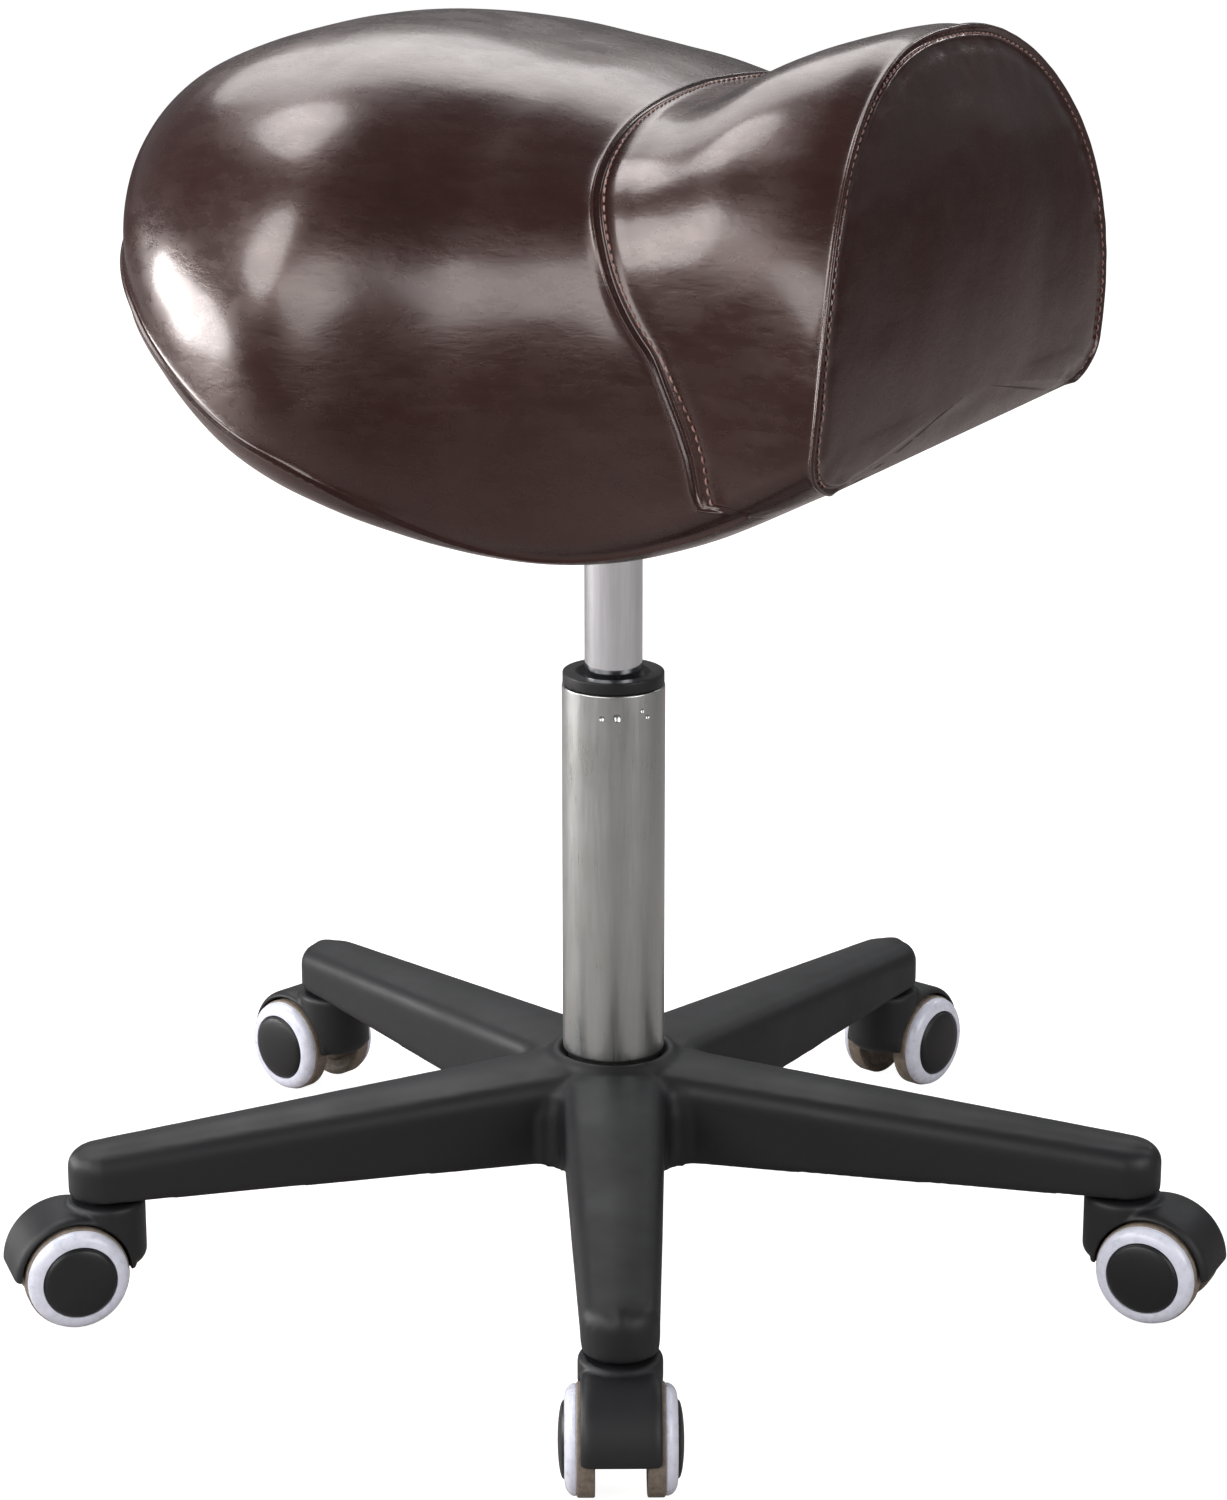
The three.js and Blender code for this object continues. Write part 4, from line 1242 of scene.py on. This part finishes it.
def collar():
    """The guide bush inside the tube, and its collar over the tube's mouth."""
    bore = CYLINDER_RADIUS + 0.3
    made = turned("collar", rounded([
        (bore, COLLAR_FOOT), (BUSH_RADIUS, COLLAR_FOOT), (BUSH_RADIUS, TUBE_TOP + 0.3),
        (COLLAR_RADIUS, TUBE_TOP + 0.3), (COLLAR_RADIUS, COLLAR_TOP), (CYLINDER_RADIUS + 4, COLLAR_TOP),
        (CYLINDER_RADIUS + 1.2, COLLAR_TOP - 2.5), (bore, COLLAR_TOP - 2.8)], 0.8))
    return shade_smooth(made, 35)


def cylinder():
    """The gas cylinder: chamber below, taper above, and the hole for the valve's button in its top."""
    lid = CYLINDER_FOOT + 6
    button_radius, button_foot = BUTTON_HOLE
    made = turned("cylinder", rounded([
        (0, CHAMBER_TOP), (CHAMBER_RADIUS, CHAMBER_TOP), (CHAMBER_RADIUS, lid), (ROD_HOLE, lid),
        (ROD_HOLE, CYLINDER_FOOT), (CYLINDER_RADIUS, CYLINDER_FOOT), (CYLINDER_RADIUS, TAPER_FROM),
        (CYLINDER_RADIUS - 0.8, CYLINDER_TOP), (button_radius, CYLINDER_TOP), (button_radius, button_foot),
        (0, button_foot)], 0.6))
    return shade_smooth(made, 35)


# ---- lever and bolts

def bar_along(name, line, radius, sides=24):
    """A round bar along points in the X-Z plane."""
    line = np.array(line, float)
    along = np.gradient(line, axis=0)
    along /= np.linalg.norm(along, axis=1)[:, None]
    turns = np.linspace(0, 2 * math.pi, sides, endpoint=False)
    rings = []
    for (x, z), (dx, dz) in zip(line, along):
        across, sideways = np.array([-dz, 0, dx]), np.array([0, 1, 0])
        ring = np.cos(turns)[:, None] * across + np.sin(turns)[:, None] * sideways
        rings.append(np.array([x, 0, z]) + radius * ring)
    return loft(name, rings)


def lever():
    """The release lever's rod and grip."""
    reach = np.array([p[0] for p in LEVER_ROUTE], float)
    fine = np.linspace(reach[0], reach[-1], 60)
    heights = through(LEVER_ROUTE, fine)
    slope = (LEVER_ROUTE[-1][1] - LEVER_ROUTE[-2][1]) / (LEVER_ROUTE[-1][0] - LEVER_ROUTE[-2][0])
    tip = (LEVER_ROUTE[-1][0] + LEVER_IN_GRIP, LEVER_ROUTE[-1][1] + slope * LEVER_IN_GRIP)
    rod = shade_smooth(bar_along("lever_bar", [*zip(fine, heights), tip], LEVER_RADIUS), 50)
    grip = turned("lever_handle", rounded(GRIP_PROFILE, 3))
    tilt = Matrix.Rotation(math.pi / 2 - math.atan(slope), 4, "Y")
    spot = Matrix.Translation((LEVER_ROUTE[-1][0] * MM, 0, LEVER_ROUTE[-1][1] * MM))
    turn_mesh(grip, spot @ tilt)
    for piece in (rod, grip):
        turn_mesh(piece, Matrix.Rotation(math.radians(LEVER_DIRECTION), 4, "Z"))
    return rod, shade_smooth(grip, 50)


def hex_bolt(name, x, y, seat):
    """A bolt with its head down, a washer under the plate and its shank up through the board."""
    inner, outer, thickness = WASHER
    below = seat - thickness
    ring = [(inner, below), (outer, below), (outer, seat), (inner, seat)]
    washer = turned("washer", rounded(ring, 0.3), 48)
    end_radius, radius, chamfer, end = BOLT_HEAD
    head = turned("head", [(0, seat - end), (end_radius, seat - end), (radius, seat - chamfer),
                           (radius, below), (0, below)], 6)
    shank = turned("shank", plain(SHANK_RADIUS, below - 0.1, BOARD_TOP - 1), 24)
    made = joined(name, [washer, head, shank])
    return shade_smooth(turn_mesh(made, Matrix.Translation((x * MM, y * MM, 0))), 25)


# ---- studio

def studio():
    """White paper, a dim sky and the area lights."""
    corners = [(-FLOOR, -FLOOR, 0), (FLOOR, -FLOOR, 0), (FLOOR, FLOOR, 0), (-FLOOR, FLOOR, 0)]
    floor = new_object("floor", corners, [(0, 1, 2, 3)])
    finish_with(floor, studio_floor())
    world = bpy.data.worlds.new("studio")
    bpy.context.scene.world = world
    world.use_nodes = True
    sky = world.node_tree.nodes["Background"].inputs
    sky["Color"].default_value = (0.92, 0.95, 1.0, 1)
    sky["Strength"].default_value = WORLD_BRIGHTNESS
    bpy.context.scene.view_settings.view_transform = "Standard"
    for name, azimuth, elevation, distance, width, height, brightness in LIGHTS:
        lamp = bpy.data.lights.new(name, "AREA")
        lamp.shape = "ELLIPSE"
        lamp.size, lamp.size_y = width, height
        lamp.energy = brightness * math.pi * width * height
        made = placed(name, lamp)
        turn, lift = math.radians(azimuth), math.radians(elevation)
        toward = Vector((math.cos(turn) * math.cos(lift), math.sin(turn) * math.cos(lift), math.sin(lift)))
        made.location = Vector(LIT_POINT) + toward * distance
        made.rotation_mode = "QUATERNION"
        made.rotation_quaternion = toward.to_track_quat("Z", "Y")


def camera():
    """The photograph's camera."""
    lens = bpy.data.cameras.new("camera")
    lens.lens = CAMERA_LENS
    lens.clip_start, lens.clip_end = 0.05, 50
    made = placed("camera", lens)
    turn, pitch = math.radians(CAMERA_AZIMUTH), math.radians(CAMERA_PITCH)
    made.location = (CAMERA_DISTANCE * math.cos(turn), CAMERA_DISTANCE * math.sin(turn), CAMERA_HEIGHT)
    ahead = Vector((-math.cos(turn) * math.cos(pitch), -math.sin(turn) * math.cos(pitch), -math.sin(pitch)))
    made.rotation_mode = "QUATERNION"
    made.rotation_quaternion = ahead.to_track_quat("-Z", "Y")
    bpy.context.scene.camera = made


# ---- the stool

def stands_for(piece, body, slot, *nodes):
    """A finished piece rides on its body in place of these CAD nodes."""
    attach(piece, body)
    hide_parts(*nodes)


camera()
studio()

NYLON = nylon("black_nylon", (0.0075, 0.0075, 0.009), 0.50, 0.7)
CAP = nylon("hub_cap_nylon", (0.0065, 0.0065, 0.0075), 0.40, 0.45)
RING = ring_plastic()
TREAD = tread_rubber()
SATIN = metal("satin_steel", (0.50, 0.51, 0.50), 0.26, 0.4, 1.1, 0.012, (1.0, 1.0, 0.06))
CHROME = metal("bright_chrome", (0.78, 0.80, 0.84), 0.05, 0.12, 0.8, 0.003, (1.0, 1.0, 0.05))
ZINC = metal("zinc_steel", (0.46, 0.48, 0.50), 0.32, 0.5, 3.5, 0.02, (1.0, 1.0, 1.0), 9)

stands_for(finish_with(base_casting(), NYLON), "base", "black_nylon", "star_base")
casters(NYLON, CAP, TREAD, RING)
stands_for(finish_with(outer_tube(), SATIN), "base", "satin_steel", "column_tube")
stands_for(finish_with(collar(), CAP), "base", "black_nylon", "guide_bush")
stands_for(finish_with(cylinder(), CHROME), "seat", "bright_chrome", "gas_cylinder")
rod, grip = lever()
stands_for(finish_with(rod, ZINC), "lever", "zinc_steel", "lever_rod")
stands_for(finish_with(grip, CAP), "lever", "black_nylon", "lever_grip")
for i, (x, y) in enumerate(BOLT_PLACES):
    stands_for(finish_with(hex_bolt(f"hex_bolt_{i + 1}", x, y, PLATE_SEAT), ZINC), "seat", "zinc_steel",
               f"plate_bolt_{i + 1}")

kept = {"seat_plate": ZINC, "seat_board": plywood(), "piston_rod": CHROME, "rubber_bumper": rubber()}
for name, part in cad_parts.items():
    if not part.hide_render:
        finish_with(part, kept.get(name, ZINC))
for name in ("seat_plate", "seat_board"):
    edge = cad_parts[name].modifiers.new("edge", "BEVEL")
    edge.width = 0.7 * MM
    edge.segments = 2
    edge.limit_method = "ANGLE"
    edge.angle_limit = math.radians(35)

cushion, threads = seat_cushion()
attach(cushion, "seat")
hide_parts("seat_cover", "seat_foam")
thread = stitches("seat_thread", threads, cushion)
finish_with(thread, sewing_thread())
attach(thread, "seat")
